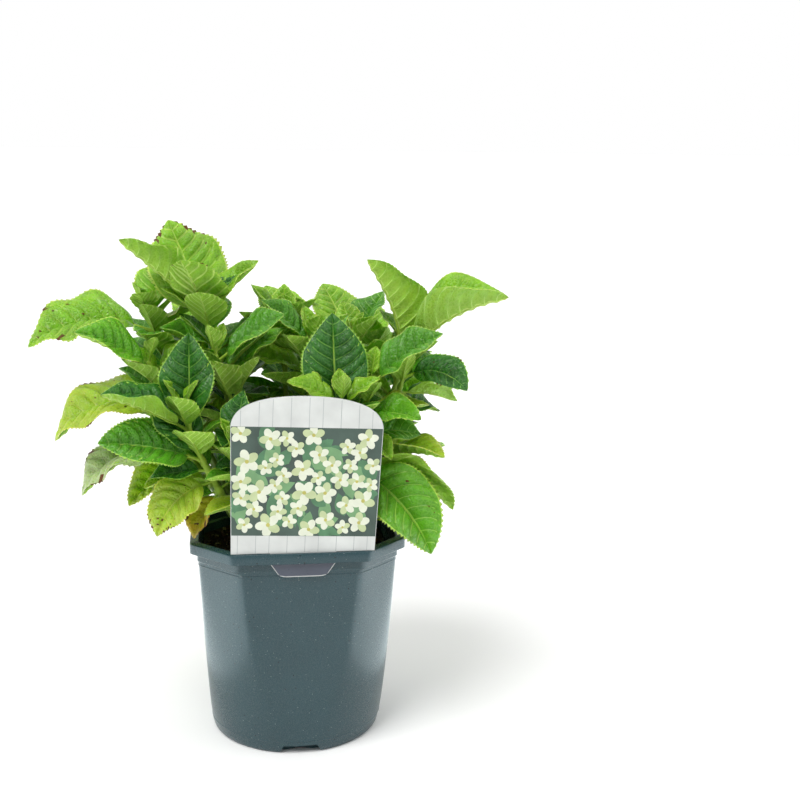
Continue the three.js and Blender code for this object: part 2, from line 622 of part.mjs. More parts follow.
place('pot', pot(), 'pot');
place('soil', soil(), 'soil');
place('card', card(), 'card');
for (const shoot of grow()) {
  const cane = limb(shoot.curve, 0, shoot.t, STEM.foot, STEM.cane, STEM.caneSteps);
  place(`stem_${shoot.name}`, cane, 'cane');
  place(`foliage_${shoot.name}`, foliage(shoot), 'leaf');
}

export default group;
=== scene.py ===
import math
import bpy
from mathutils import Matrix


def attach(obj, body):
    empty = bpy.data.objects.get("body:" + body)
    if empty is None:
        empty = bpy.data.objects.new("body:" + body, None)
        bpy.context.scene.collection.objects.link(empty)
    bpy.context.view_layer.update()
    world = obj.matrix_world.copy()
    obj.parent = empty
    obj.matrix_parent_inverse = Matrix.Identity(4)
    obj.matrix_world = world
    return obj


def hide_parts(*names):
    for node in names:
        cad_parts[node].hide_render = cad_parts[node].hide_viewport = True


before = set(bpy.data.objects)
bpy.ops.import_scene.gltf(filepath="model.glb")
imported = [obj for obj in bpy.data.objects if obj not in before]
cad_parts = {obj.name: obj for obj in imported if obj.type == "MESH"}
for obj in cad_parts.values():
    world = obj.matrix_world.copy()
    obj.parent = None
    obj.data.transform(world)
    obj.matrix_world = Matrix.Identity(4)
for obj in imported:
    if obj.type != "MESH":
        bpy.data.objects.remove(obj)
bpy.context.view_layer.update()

# A young hydrangea shrub in its grower's pot. Metres, +Z up, the pot's front flat faces -Y.
# The shrub grows by the same rule as the solids. Its sizes are in millimetres until a mesh is made.
from types import SimpleNamespace as Size

import bmesh
import bpy
import numpy as np
from mathutils import Matrix, Vector, noise

MM = 0.001

# Pot, soil and card: the sizes of the solids
POT = Size(height=194.0, lip_drop=9.0, lip_half=95.0, lip_cut=108.9, wall=1.6, ring_out=76.0,
           ring_in=68.5, recess=8.0, foot_radius=22.0, floor_top=10.0)
BODY = [(12, 79, 84), (30, 80.3, 88), (60, 82, 91), (95, 83.9, 94), (130, 85.5, 96.6),
        (160, 87.2, 98.6), (175, 88, 99.6)]
COLLAR = (176.5, 88.9, 101.4)
ROUND = Size(low=77.0, high=103.0, top=176.0, power=0.8)
SOFT_CORNER = 0.9  # crisper than the solids' 2, as this pot has finer facets
NO_CIRCLE = 400.0  # a circle too wide to round the rim
SLOT = Size(width=62.0, depth=1.8, y=-91.0)
SIDE_SLOT = Size(length=21.0, width=1.6, x=91.0)
NOTCH = Size(count=3, width=30.0, height=8.0, first=270.0)
SOIL_TOP, SOIL_CLEAR, GAP = 168.0, 1.2, 0.3
CARD = Size(thick=0.8, centre=2.0, bottom_half=61.5, shoulder_half=64.2, shoulder=304.0, top=331.0,
            arch_high=0.75, arch_flat=34.0, tab_top_half=28.5, tab_low_half=19.0, tab_low=172.5,
            tab_round=5.0, lean=2.1)

# The growing rule: the sizes of the solids
LEAF = Size(width=0.71, petiole=0.19, least_petiole=7.0, petiole_wide=2.6, widest=(0.68, 0.84),
            stations=(0.14, 0.42, 0.74, 1), small_under=40, small_stations=(0.28, 0.66, 1),
            tip_wide=1.2, stalk=1.5, stalk_shares=(0.45, 0.65, 0.85))
STEM = Size(foot=4.2, cane=3.2, tip=1.5)
CLEAR = dict(leaf=2.9, own=0.9, rod=1.6, card=3.5, stalk_share=0.6, own_stem=0.4, own_stem_from=12.0)
RIM_SPARE = 5.0

# A pair is its height and its leaves. A leaf is (heading, rise, length, droop, roll, fold), whose last
# numbers may be left to the draw, and may end with the name of its tone
SHOOTS = [
    dict(name="left_top", foot=(-26, 4), apex=(-82, 2, 396), lean=0.45, start=262, pairs=[
        (352, (-153, 30, 50, 8, -20, "mid"), (-20, 42, 44, 10, 20, "mid")),
        (374, (-118, 62, 74, 30, 0, 16, "bright"), (120, 56, 98, 10, -24, 6, "bright")),
        (385, (-176, 49, 84, 14, 14, 38, "bright"), (0, 50, 58, 10, 20, 24, "bright")),
        (394, (17, 34, 34, 6, 20, "deep"), (-90, 60, 26, 6, "bright"))]),
    dict(name="far_left", foot=(-38, 12), apex=(-130, 22, 384), lean=0.55, start=255, pairs=[
        (340, (95, 30, 60, 40, "mid")),
        (369, (-169, 19, 98, 58, -24, 16, "bright"), (10, 35, 46, 16, "pale")),
        (382, (75, 48, 58, 20, "bright"), (-100, 45, 36, 20, "pale"))]),
    dict(name="left_mid", foot=(-34, -7), apex=(-128, -24, 350), lean=0.55, start=238, pairs=[
        (264, (179, 9, 100, 68, -18, 20, "grey"), (160, 30, 50, 26, -20, 16, "old")),
        (302, (177, 18, 100, 74, -20, 16, "pale"), (-10, 40, 40, 16, "mid")),
        (339, (-152, 37, 70, 16, -34, 28, "fresh"), (0, 42, 48, 12, 30, "bright"))]),
    dict(name="left_low", foot=(-27, -27), apex=(-99, -66, 316), lean=0.7, start=218, pairs=[
        (238, (-140, -34, 40, 40, "old"), (-166, -2, 32, 24, -20, "mid")),
        (248, (-150, -6, 62, 70, -30, 10, "pale"), (30, 20, 30, 20, "deep")),
        (259, (-165, 4, 42, 16, -30, "deep"), (5, 15, 26, 10, 20, "deep")),
        (268, (-158, 24, 80, 20, -38, 16, "mid"), (-176, 66, 66, 8, -46, 30, "deep")),
        (296, (88, 82, 70, 8, -10, 22, "deep"), (-163, 34, 70, 18, -14, 42, "deep"))]),
    dict(name="young_front", foot=(-13, -38), apex=(-58, -80, 286), lean=0.5, start=226, pairs=[
        (266, (-121, 50, 30, 16, "bright"), (40, 40, 26, 10, "bright")),
        (282, (40, 80, 44, 4, 0, 20, "deep"), (165, 74, 36, 6, 0, 20, "mid"))]),
    dict(name="centre_left", foot=(-16, -8), apex=(-70, -30, 356), lean=0.45, start=246, pairs=[
        (312, (-115, 60, 50, 14, 0, 30, "mid"), (-32, 60, 46, 12, 0, 30, "deep")),
        (332, (11, 44, 60, 12, 16, "fresh"), (180, 40, 34, 12, -20, "mid")),
        (350, (-28, 40, 66, 12, 34, 16, "mid"), (160, 38, 40, 10, -20, "bright"))]),
    dict(name="centre_back", foot=(-5, 14), apex=(-8, 30, 374), lean=0.4, start=256, pairs=[
        (340, (100, 38, 62, 24, "mid")),
        (364, (172, 60, 46, 8, "bright"), (-5, 48, 38, 14, "bright")),
        (373, (86, 70, 32, 8, "bright"), (-94, 60, 30, 8, "mid"))]),
    dict(name="centre", foot=(7, -7), apex=(15, -8, 362), lean=0.45, start=246, pairs=[
        (334, (-165, 36, 52, 16, -20, "bright"), (20, 30, 44, 20, "deep")),
        (353, (-170, 46, 56, 12, -30, "mid"), (25, 45, 42, 12, 20, "mid")),
        (361, (-70, 60, 28, 10, "bright"), (110, 58, 30, 8, "bright"))]),
    dict(name="centre_front", foot=(9, -31), apex=(37, -66, 318), lean=0.5, start=234, pairs=[
        (282, (-100, 24, 30, 20, "mid"), (60, 30, 40, 20, "deep")),
        (296, (94, 78, 84, 6, 0, 10, "deep"), (-60, 40, 34, 12, "mid")),
        (317, (-176, 32, 44, 16, -30, "bright"), (0, 40, 34, 12, 20, "bright"))]),
    dict(name="right_mid", foot=(22, 1), apex=(55, 4, 362), lean=0.45, start=246, pairs=[
        (344, (-20, 30, 40, 20, "deep")),
        (356, (114, 46, 66, 12, -14, 10, "bright"), (48, 50, 56, 14, "mid")),
        (361, (-55, 52, 28, 10, "bright"), (110, 55, 36, 10, "bright"))]),
    dict(name="right_top", foot=(36, 10), apex=(105, 6, 356), lean=0.55, start=246, pairs=[
        (326, (70, 25, 66, 34, "deep")),
        (345, (-165, 80, 84, 30, 8, 56, "bright"), (-10, 50, 95, 44, 8, 60, "bright")),
        (354, (135, 60, 50, 10, "bright"), (-50, 50, 30, 14, "mid"))]),
    dict(name="right_low", foot=(38, -9), apex=(98, -22, 338), lean=0.6, start=232, pairs=[
        (300, (35, 8, 52, 36, 20, "deep")),
        (318, (6, 4, 48, 34, -10, 34, "mid"), (-95, 25, 34, 20, "deep")),
        (332, (-32, 26, 57, 76, 34, 12, "deep"), (20, 14, 56, 34, 10, "mid"))]),
    dict(name="right_front", foot=(25, -27), apex=(64, -46, 334), lean=0.6, start=218, pairs=[
        (256, (-36, -24, 92, 44, 44, 30, "fresh"), (12, -10, 90, 58, -24, "grey")),
        (284, (8, 12, 50, 34, 34, "mid"), (-42, -8, 34, 40, 20, "bright")),
        (302, (-26, 14, 50, 34, 30, "fresh"), (25, 16, 52, 22, 10, "pale")),
        (330, (-20, 43, 68, 14, 34, 26, "mid"), (160, 50, 40, 12, "deep"))]),
    dict(name="back_left", foot=(-20, 27), apex=(-84, 92, 346), lean=0.55, start=232),
    dict(name="back_centre", foot=(1, 36), apex=(2, 112, 350), lean=0.55, start=236),
    dict(name="back_right", foot=(22, 28), apex=(78, 88, 334), lean=0.55, start=232),
    dict(name="low_left", foot=(-40, 27), apex=(-120, 66, 282), lean=0.55, start=216),
    dict(name="low_right", foot=(42, 20), apex=(104, 58, 274), lean=0.55, start=214),
]
RULE = Size(spacing=27, first_pair=14, turn=90, turn_jitter=14, low=(16, 84, 52), high=(50, 48, 18),
            jitter=(9, 0.12, 10), fold=(14, 30), roll=16, first_jitter=20, side_jitter=8)
BUD = Size(at=0.995, rise=66, rise_jitter=6, droop=8, fold=34, roll=8, length=24, length_jitter=4)
# First numbers of the draws, and what each next shoot adds to them
RULE_SEED, FINER_SEED, LOOKS_SEED = (101, 37), (3001, 71), (7001, 53)
SOIL_SEED, PRINT_SEED = 4242, 909
TRIES = [(0, 0), (6, 0), (-6, 0), (0, 6), (0, -6), (11, 4), (-11, 4), (11, -6), (-11, -6), (0, 12),
         (0, -12), (18, 0), (-18, 0), (16, 10), (-16, 10), (16, -12), (-16, -12), (27, 0), (-27, 0)]
SHRINKS = (1, 0.8, 0.62)
FEWEST = 17


def mix(a, b, t):
    return a + (b - a) * t


def seeded(first, step=0, number=0):
    state = [first + step * number]

    def draw():
        state[0] = (state[0] * 1664525 + 1013904223) & 0xFFFFFFFF
        return state[0] / 4294967296
    return draw


def unit(v):
    return v / np.maximum(np.linalg.norm(v, axis=-1, keepdims=True), 1e-12)


# Growing


class ShootLine:
    """A shoot's curve from the soil to its tip. Its height rises evenly with t."""

    def __init__(self, foot, apex, lean):
        self.a = np.array([foot[0], foot[1], SOIL_TOP + GAP], float)
        self.c = np.array(apex, float)
        self.b = mix(self.a, self.c, lean)
        self.b[2] = (self.a[2] + self.c[2]) / 2
        self.chord = np.linalg.norm(self.c - self.a)

    def point(self, t):
        t = np.asarray(t, float)[..., None]
        return (1 - t) ** 2 * self.a + 2 * t * (1 - t) * self.b + t * t * self.c

    def at(self, z):
        return (z - self.a[2]) / (self.c[2] - self.a[2])

    def rods(self, t0, t1, r0, r1):
        count = math.ceil(self.chord * (t1 - t0) / 5)
        share = np.arange(count + 1) / count
        return self.point(mix(t0, t1, share)), mix(r0, r1, share)


def half_width(leaf, u):
    a, b = LEAF.widest
    peak = a / (a + b)
    return leaf["width"] / 2 * (u / peak) ** a * ((1 - u) / (1 - peak)) ** b


def spine(leaf, s):
    """Middle, side and normal of a leaf, at distances from its foot along a straight stalk and a bend."""
    s = np.asarray(s, float)
    rise, heading = math.radians(leaf["rise"]), math.radians(leaf["heading"])
    bend = math.radians(leaf["droop"]) / leaf["length"]
    a = np.maximum(s - leaf["petiole"], 0)
    now = rise - bend * a
    if abs(bend) > 1e-6:
        out, lift = (math.sin(rise) - np.sin(now)) / bend, (np.cos(now) - math.cos(rise)) / bend
    else:
        out, lift = a * math.cos(rise), a * math.sin(rise)
    stalk = np.minimum(s, leaf["petiole"])
    level = out + stalk * math.cos(rise)
    outward = np.array([math.cos(heading), math.sin(heading), 0])
    upward = np.array([0, 0, 1.0])
    at = leaf["foot"] + level[..., None] * outward + (lift + stalk * math.sin(rise))[..., None] * upward
    along = np.cos(now)[..., None] * outward + np.sin(now)[..., None] * upward
    flat_side = np.cross(upward, outward)
    roll = math.radians(leaf["roll"])
    side = math.cos(roll) * flat_side + math.sin(roll) * np.cross(along, flat_side)
    return at, side, np.cross(along, side)


def leaf_space(leaf):
    """What a leaf takes up: the triangles and points of a bent sheet, and points down its stalk."""
    shares = LEAF.small_stations if leaf["length"] < LEAF.small_under else LEAF.stations
    shares = np.array((0,) + tuple(shares), float)
    halves = half_width(leaf, shares)
    halves[0], halves[-1] = LEAF.petiole_wide / 2, LEAF.tip_wide / 2
    at, side, normal = spine(leaf, leaf["petiole"] + shares * leaf["length"])
    fold = math.radians(leaf["fold"])
    out = side * (halves * math.cos(fold))[:, None]
    up = normal * (halves * math.sin(fold))[:, None]
    rows = np.stack([at + out + up, at, at - out + up], axis=1)
    a, b, c, d = rows[:-1, :-1], rows[:-1, 1:], rows[1:, 1:], rows[1:, :-1]
    triangles = np.concatenate([np.stack(three, axis=2).reshape(-1, 3, 3)
                                for three in ((a, b, c), (a, c, d))])
    points = np.concatenate([rows.reshape(-1, 3), ((rows[1:] + rows[:-1]) / 2).reshape(-1, 3)])
    stalk = spine(leaf, leaf["petiole"] * np.array(LEAF.stalk_shares))[0]
    return space_of(triangles, points, stalk)


def space_of(triangles, points, stalk):
    edges = np.concatenate([triangles[:, [i, (i + 1) % 3]] for i in range(3)])
    return dict(triangles=triangles, edges=edges, points=points, stalk=stalk,
                low=points.min(axis=0), high=points.max(axis=0))


def distances(points, triangles):
    """Distance of every point to every triangle."""
    corners = [triangles[:, i] for i in range(3)]
    normal = unit(np.cross(corners[1] - corners[0], corners[2] - corners[0]))
    plane = np.abs(np.einsum("ptk,tk->pt", points[:, None] - corners[0], normal))
    inside = np.ones(plane.shape, bool)
    nearest = np.full(plane.shape, np.inf)
    for i in range(3):
        a, b = corners[i], corners[(i + 1) % 3]
        edge, away = b - a, points[:, None] - a
        inside &= np.einsum("ptk,tk->pt", away, np.cross(normal, edge)) >= 0
        share = np.einsum("ptk,tk->pt", away, edge) / np.maximum((edge * edge).sum(axis=1), 1e-12)
        gap = away - np.clip(share, 0, 1)[..., None] * edge
        nearest = np.minimum(nearest, np.linalg.norm(gap, axis=2))
    return np.where(inside, plane, nearest)


def crosses(edges, triangles):
    """Whether any edge passes through any triangle."""
    start, ray = edges[:, None, 0], edges[:, None, 1] - edges[:, None, 0]
    a = triangles[None, :, 0]
    ab, ac = triangles[None, :, 1] - a, triangles[None, :, 2] - a
    h = np.cross(ray, ac)
    det = (ab * h).sum(axis=2)
    safe = np.where(np.abs(det) < 1e-9, 1, det)
    away = start - a
    u = (away * h).sum(axis=2) / safe
    k = np.cross(away, ab)
    v = (ray * k).sum(axis=2) / safe
    t = (ac * k).sum(axis=2) / safe
    hit = (u >= 0) & (u <= 1) & (v >= 0) & (u + v <= 1) & (t >= 0) & (t <= 1)
    return bool((hit & (np.abs(det) >= 1e-9)).any())


def stalk_near_rods(space, rods):
    at, radius = rods
    if len(space["stalk"]) == 0:
        return False
    apart = np.linalg.norm(space["stalk"][:, None] - at, axis=2)
    return bool((apart < LEAF.stalk + radius + CLEAR["rod"]).any())


def touches(one, other, gap):
    if crosses(one["edges"], other["triangles"]) or crosses(other["edges"], one["triangles"]):
        return True
    for a, b in ((one, other), (other, one)):
        if (distances(a["points"], b["triangles"]) < gap).any():
            return True
        near_stalk = LEAF.stalk + gap * CLEAR["stalk_share"]
        if len(a["stalk"]) and (distances(a["stalk"], b["triangles"]) < near_stalk).any():
            return True
    if gap <= CLEAR["own"]:
        return False
    return stalk_near_rods(one, (other["stalk"], LEAF.stalk)) if len(other["stalk"]) else False


def near_rods(space, rods, spare):
    at, radius = rods
    outside = np.maximum(np.maximum(space["low"] - at, at - space["high"]), 0)
    close = np.linalg.norm(outside, axis=1) < radius + spare
    if not close.any():
        return False
    gaps = distances(at[close], space["triangles"])
    return bool((gaps.min(axis=1) < radius[close] + spare).any())


def leant(x, z):
    """A point of the card, given from its centre line: it was cut a little askew above its foot."""
    turn, over = math.radians(CARD.lean), z - POT.height - GAP
    return (CARD.centre + x * math.cos(turn) + over * math.sin(turn),
            POT.height + GAP + over * math.cos(turn) - x * math.sin(turn))


def arch_points(steps):
    """The card's arch from its right shoulder to its left, given from its centre line."""
    c = CARD
    haunch = mix(c.shoulder, c.top, c.arch_high)
    pulls = np.array([(c.shoulder_half, c.shoulder), (c.shoulder_half - 1, haunch),
                      (c.arch_flat, c.top), (0, c.top)])
    t = np.linspace(0, 1, steps + 1)[:, None]
    right = ((1 - t) ** 3 * pulls[0] + 3 * t * (1 - t) ** 2 * pulls[1] + 3 * t * t * (1 - t) * pulls[2]
             + t ** 3 * pulls[3])
    return np.concatenate([right, right[-2::-1] * (-1, 1)])


def card_outline(steps):
    """The card's outline as (x, z) points, with its arch in steps."""
    c = CARD
    foot, under = POT.height + GAP, POT.height - POT.lip_drop
    corner = c.tab_low_half + c.tab_round / 2
    bends = [(mix(mix(c.tab_low_half - c.tab_round, c.tab_low_half, t),
                  mix(c.tab_low_half, corner, t), t),
              mix(c.tab_low, mix(c.tab_low, c.tab_low + c.tab_round / 2, t), t))
             for t in (0, 1 / 3, 2 / 3, 1)]
    low = bends + [(c.tab_top_half, under), (c.tab_top_half, foot), (c.bottom_half, foot)]
    return ([(c.centre + x, z) for x, z in low] + [leant(x, z) for x, z in arch_points(steps)]
            + [(c.centre - x, z) for x, z in reversed(low)])


def card_space():
    points = np.array([(x, SLOT.y, z) for x, z in card_outline(3)])
    middle = np.array([CARD.centre, SLOT.y, (POT.height + CARD.top) / 2])
    triangles = np.array([(middle, p, q) for p, q in zip(points, np.roll(points, -1, axis=0))])
    return space_of(triangles, points, np.zeros((0, 3)))


def too_low(points):
    x, y = np.abs(points[:, 0]), np.abs(points[:, 1])
    over_rim = ((np.maximum(x, y) < POT.lip_half + RIM_SPARE)
                & ((x + y) * math.sqrt(0.5) < POT.lip_cut + RIM_SPARE))
    least = np.where(over_rim, POT.height + RIM_SPARE, SOIL_TOP)
    return bool((points[:, 2] < least).any())


def sized(leaf, length):
    petiole = max(LEAF.least_petiole, LEAF.petiole * length)
    return dict(leaf, length=length, width=length * LEAF.width, petiole=petiole)


def wanted(shoot):
    """The leaves that a shoot would carry, from its row or by the seeded rule, and a last pair by the bud."""
    line, random, apex, foot = shoot["line"], shoot["random"], shoot["apex"], shoot["foot"]
    start = shoot["start"]

    def spread(reach):
        return (2 * random() - 1) * reach

    first_z = start + RULE.first_pair
    count = (apex[2] - first_z) // RULE.spacing
    rows = shoot.get("pairs") or [(first_z + i * (apex[2] - first_z) / count,) for i in range(count + 1)]
    heading = math.degrees(math.atan2(apex[1] - foot[1], apex[0] - foot[0]))
    heading += spread(RULE.first_jitter)
    leaves = []
    for row in rows:
        z, given_pair = row[0], list(row[1:]) + [None] * (3 - len(row))
        t = line.at(min(z, apex[2]))
        age = (z - start) / (apex[2] - start)
        if given_pair[0]:
            heading = given_pair[0][0]
        else:
            heading += RULE.turn + spread(RULE.turn_jitter)
        for side, given in enumerate(given_pair):
            rise, length, droop = (mix(a, b, age) for a, b in zip(RULE.low, RULE.high))
            drawn = [heading + 180 * side + spread(RULE.side_jitter), rise + spread(RULE.jitter[0]),
                     length * (1 + spread(RULE.jitter[1])), droop + spread(RULE.jitter[2])]
            drawn += [spread(RULE.roll), mix(*RULE.fold, random())]
            tone = None
            if given:
                numbers = [value for value in given if not isinstance(value, str)]
                drawn[:len(numbers)] = numbers
                tone = given[-1] if len(numbers) < len(given) else None
            turn, rise, length, droop, roll, fold = drawn
            leaf = dict(foot=line.point(t), heading=turn, rise=rise, droop=droop, roll=roll, fold=fold,
                        given=bool(given), age=age, pair=z, tone=tone)
            leaves.append(sized(leaf, length))
    for side in (0, 1):
        leaf = dict(foot=line.point(BUD.at), heading=heading + 90 + 180 * side,
                    rise=BUD.rise + spread(BUD.rise_jitter), droop=BUD.droop, fold=BUD.fold,
                    roll=spread(BUD.roll), given=False, age=1.0, pair=apex[2], tone=None)
        leaves.append(sized(leaf, BUD.length + spread(BUD.length_jitter)))
    return leaves


class Crown:
    """All shoots with what has grown on them so far."""

    def __init__(self):
        self.shoots = []
        for i, row in enumerate(SHOOTS):
            line = ShootLine(row["foot"], row["apex"], row["lean"])
            t = line.at(row["start"])
            self.shoots.append(dict(
                row, line=line, t=t, random=seeded(*RULE_SEED, i), leaves=[],
                cane=line.rods(0, t, STEM.foot, STEM.cane),
                stem=line.rods(t, 1, STEM.cane, STEM.tip)))
        self.spaces, self.owners = [card_space()], [None]

    def is_clear(self, shoot, leaf, space, gap):
        if too_low(space["points"]):
            return False
        for other in self.shoots:
            if near_rods(space, other["cane"], CLEAR["rod"]):
                return False
            if other is shoot:
                continue
            if near_rods(space, other["stem"], CLEAR["rod"]):
                return False
            if stalk_near_rods(space, other["stem"]) or stalk_near_rods(space, other["cane"]):
                return False
        at, radius = shoot["stem"]
        far = np.linalg.norm(at - leaf["foot"], axis=1) > CLEAR["own_stem_from"]
        if far.any() and near_rods(space, (at[far], radius[far]), CLEAR["own_stem"]):
            return False
        lows, highs = (np.array([taken[end] for taken in self.spaces]) for end in ("low", "high"))
        reach = CLEAR["card"] + LEAF.stalk
        close = ((space["low"] - reach <= highs) & (space["high"] + reach >= lows)).all(axis=1)
        for i in np.nonzero(close)[0]:
            owner = self.owners[i]
            spare = gap["own"] if owner is shoot else gap["leaf"] if owner else gap["card"]
            edge = spare + LEAF.stalk
            if ((space["low"] - edge > highs[i]) | (space["high"] + edge < lows[i])).any():
                continue
            if touches(space, self.spaces[i], spare):
                return False
        return True

    def grow(self, leaves, gap):
        """Adds the leaves in turn, each where it first comes clear, and skips one that never does."""
        for shoot, leaf in leaves:
            found = self.first_clear(shoot, leaf, gap)
            if found is None:
                continue
            leaf, space = found
            shoot["leaves"].append(leaf)
            self.spaces.append(space)
            self.owners.append(shoot)

    def first_clear(self, shoot, leaf, gap):
        for shrink in SHRINKS:
            for turn, lift in TRIES[:gap["tries"]]:
                tried = sized(dict(leaf, heading=leaf["heading"] + turn, rise=leaf["rise"] + lift),
                              leaf["length"] * shrink)
                if tried["length"] < gap["fewest"]:
                    return None
                space = leaf_space(tried)
                if self.is_clear(shoot, tried, space, gap):
                    return tried, space
        return None


crown = Crown()
queue = [(shoot, leaf) for shoot in crown.shoots for leaf in wanted(shoot)]
queue.sort(key=lambda item: (-item[1]["given"], -item[1]["length"]))
crown.grow(queue, dict(CLEAR, fewest=FEWEST, tries=len(TRIES)))
print("leaves of the rule", sum(len(s["leaves"]) for s in crown.shoots))

# Finer growth of the same rule: leaves between the pairs, whose stalks leave the cane too
FINE = Size(spacing=14, length=(74, 46), share=(0.8, 1.1), rise=(20, 50), rise_jitter=14, droop=(45, 18),
            turn_jitter=20, roll=10, below=34, z_spare=8, calm=0.35,
            clear=dict(CLEAR, leaf=0.9, own=0.5, card=3.0, fewest=20, tries=9))


def finer(shoot, number):
    """Pairs of leaves that turn by a quarter, closer together than the rule's own."""
    random = seeded(*FINER_SEED, number)
    line, top = shoot["line"], shoot["apex"][2] - FINE.z_spare
    heading = random() * 360
    leaves = []
    for z in np.arange(shoot["start"] - FINE.below, top, FINE.spacing):
        age = max(0, (z - shoot["start"]) / (top - shoot["start"]))
        for side in (0, 1):
            leaf = dict(foot=line.point(line.at(z)), given=False, age=age, pair=z, tone=None,
                        calm=FINE.calm, droop=mix(*FINE.droop, age),
                        heading=heading + 180 * side + FINE.turn_jitter * random(),
                        rise=mix(*FINE.rise, age) + FINE.rise_jitter * random(),
                        roll=2 * FINE.roll * random() - FINE.roll,
                        fold=mix(*RULE.fold, random()))
            length = mix(*FINE.length, age) * mix(*FINE.share, random())
            leaves.append((shoot, sized(leaf, length)))
        heading += RULE.turn + FINE.turn_jitter * random()
    return leaves


queue = [item for number, shoot in enumerate(crown.shoots) for item in finer(shoot, number)]
queue.sort(key=lambda item: -item[1]["length"])
crown.grow(queue, FINE.clear)
print("leaves with the finer growth", sum(len(s["leaves"]) for s in crown.shoots))

# Meshes: arrays of points, faces and material numbers, joined by kind


def fan(middle, first, second):
    """Triangles from one point to pairs of others."""
    return np.stack([np.full(len(first), middle), first, second], axis=1)


class Heap:
    """Points, faces and material numbers that become one mesh."""

    def __init__(self):
        self.points, self.faces, self.kinds, self.count = [], [], [], 0

    def add(self, points, faces, kind):
        """Adds faces, which count their points from 0. Their kind is one number, or one for each."""
        self.points.append(np.asarray(points, float))
        self.faces.append(np.asarray(faces) + self.count)
        self.kinds.append(np.broadcast_to(kind, len(faces)))
        self.count += len(points)

    def add_rings(self, rings, middles, kind, cap_kind):
        """Adds a closed body: quads between its rings of points, and a fan round each end's middle."""
        count, sides = rings.shape[:2]
        j = np.arange(sides)
        k = (j + 1) % sides
        row = np.arange(count - 1)[:, None] * sides
        walls = np.stack([row + j, row + k, row + k + sides, row + j + sides], axis=-1).reshape(-1, 4)
        end = count * sides
        caps = np.concatenate([fan(end, k, j), fan(end + 1, end - sides + j, end - sides + k)])
        points = np.concatenate([rings.reshape(-1, 3), middles])
        self.add(points, walls, kind)
        self.add(np.zeros((0, 3)), caps - len(points), cap_kind)

    def add_slab(self, near, far, kind):
        """Adds a thin closed slab between two outlines, each of which ends with its middle."""
        n = len(near) - 1
        j = np.arange(n)
        k = (j + 1) % n
        a, b = n + 1 + j, n + 1 + k
        faces = [fan(n, j, k), fan(2 * n + 1, b, a), np.stack([j, a, b], axis=1), np.stack([j, b, k], axis=1)]
        self.add(np.concatenate([near, far]), np.concatenate(faces), kind)

    def build(self, name, materials, smooth=None):
        mesh = bpy.data.meshes.new(name)
        points = np.concatenate(self.points) * MM
        mesh.vertices.add(len(points))
        mesh.vertices.foreach_set("co", points.ravel())
        sizes = np.concatenate([np.full(len(f), f.shape[1]) for f in self.faces])
        corners = np.concatenate([f.ravel() for f in self.faces])
        mesh.loops.add(len(corners))
        mesh.loops.foreach_set("vertex_index", corners.astype(np.int32))
        mesh.polygons.add(len(sizes))
        mesh.polygons.foreach_set("loop_start", (np.cumsum(sizes) - sizes).astype(np.int32))
        mesh.polygons.foreach_set("material_index", np.concatenate(self.kinds).astype(np.int32))
        mesh.update(calc_edges=True)
        mesh.validate()
        return piece(name, mesh, materials, smooth)


def placed(name, data):
    made = bpy.data.objects.new(name, data)
    bpy.context.scene.collection.objects.link(made)
    return made


def piece(name, mesh, materials, smooth=None):
    for m in materials:
        mesh.materials.append(m)
    mesh.shade_smooth()
    if smooth is not None:
        mesh.set_sharp_from_angle(angle=math.radians(smooth))
    return placed(name, mesh)


def stands_for(made, slot, *nodes):
    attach(made, "root")
    if nodes:
        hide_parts(*nodes)
    return made


def tube(centres, radii, sides, up=(0, 1, 0)):
    """The rings of a round tube along its centres, and its two end points."""
    along = unit(np.gradient(centres, axis=0))
    side = unit(np.cross(np.asarray(up, float), along))
    lift = np.cross(along, side)
    a = 2 * math.pi * np.arange(sides) / sides
    radii = radii[:, None] if radii.ndim == 1 else radii
    ring = side[:, None] * np.cos(a)[:, None] + lift[:, None] * np.sin(a)[:, None]
    return centres[:, None] + ring * radii[..., None], centres[[0, -1]]


# Materials


def linear(code):
    """Linear colour of an sRGB code such as 4C6064."""
    parts = [int(code[i:i + 2], 16) / 255 for i in (0, 2, 4)]
    return [c / 12.92 if c <= 0.04045 else ((c + 0.055) / 1.055) ** 2.4 for c in parts]


def feed(tree, target, inputs):
    """Gives a node's inputs their values, or the outputs that drive them."""
    for key, value in inputs.items():
        if isinstance(value, bpy.types.NodeSocket):
            tree.links.new(value, target.inputs[key])
        else:
            target.inputs[key].default_value = value


def node(tree, kind, inputs, **settings):
    made = tree.nodes.new(f"ShaderNode{kind}")
    for name, value in settings.items():
        setattr(made, name, value)
    feed(tree, made, inputs)
    return made


RAMP = (0.3, 0.7)
GRAIN_DEEP = 0.0004
PUCKER = {"Strength": 0.5, "Distance": 0.0009}
UNDER_SKIN = {"Subsurface Radius": (0.6, 1.0, 0.2), "Subsurface Scale": 0.002}
NET = Size(scale=300, wide=0.12, strength=0.24, dome=0.35)


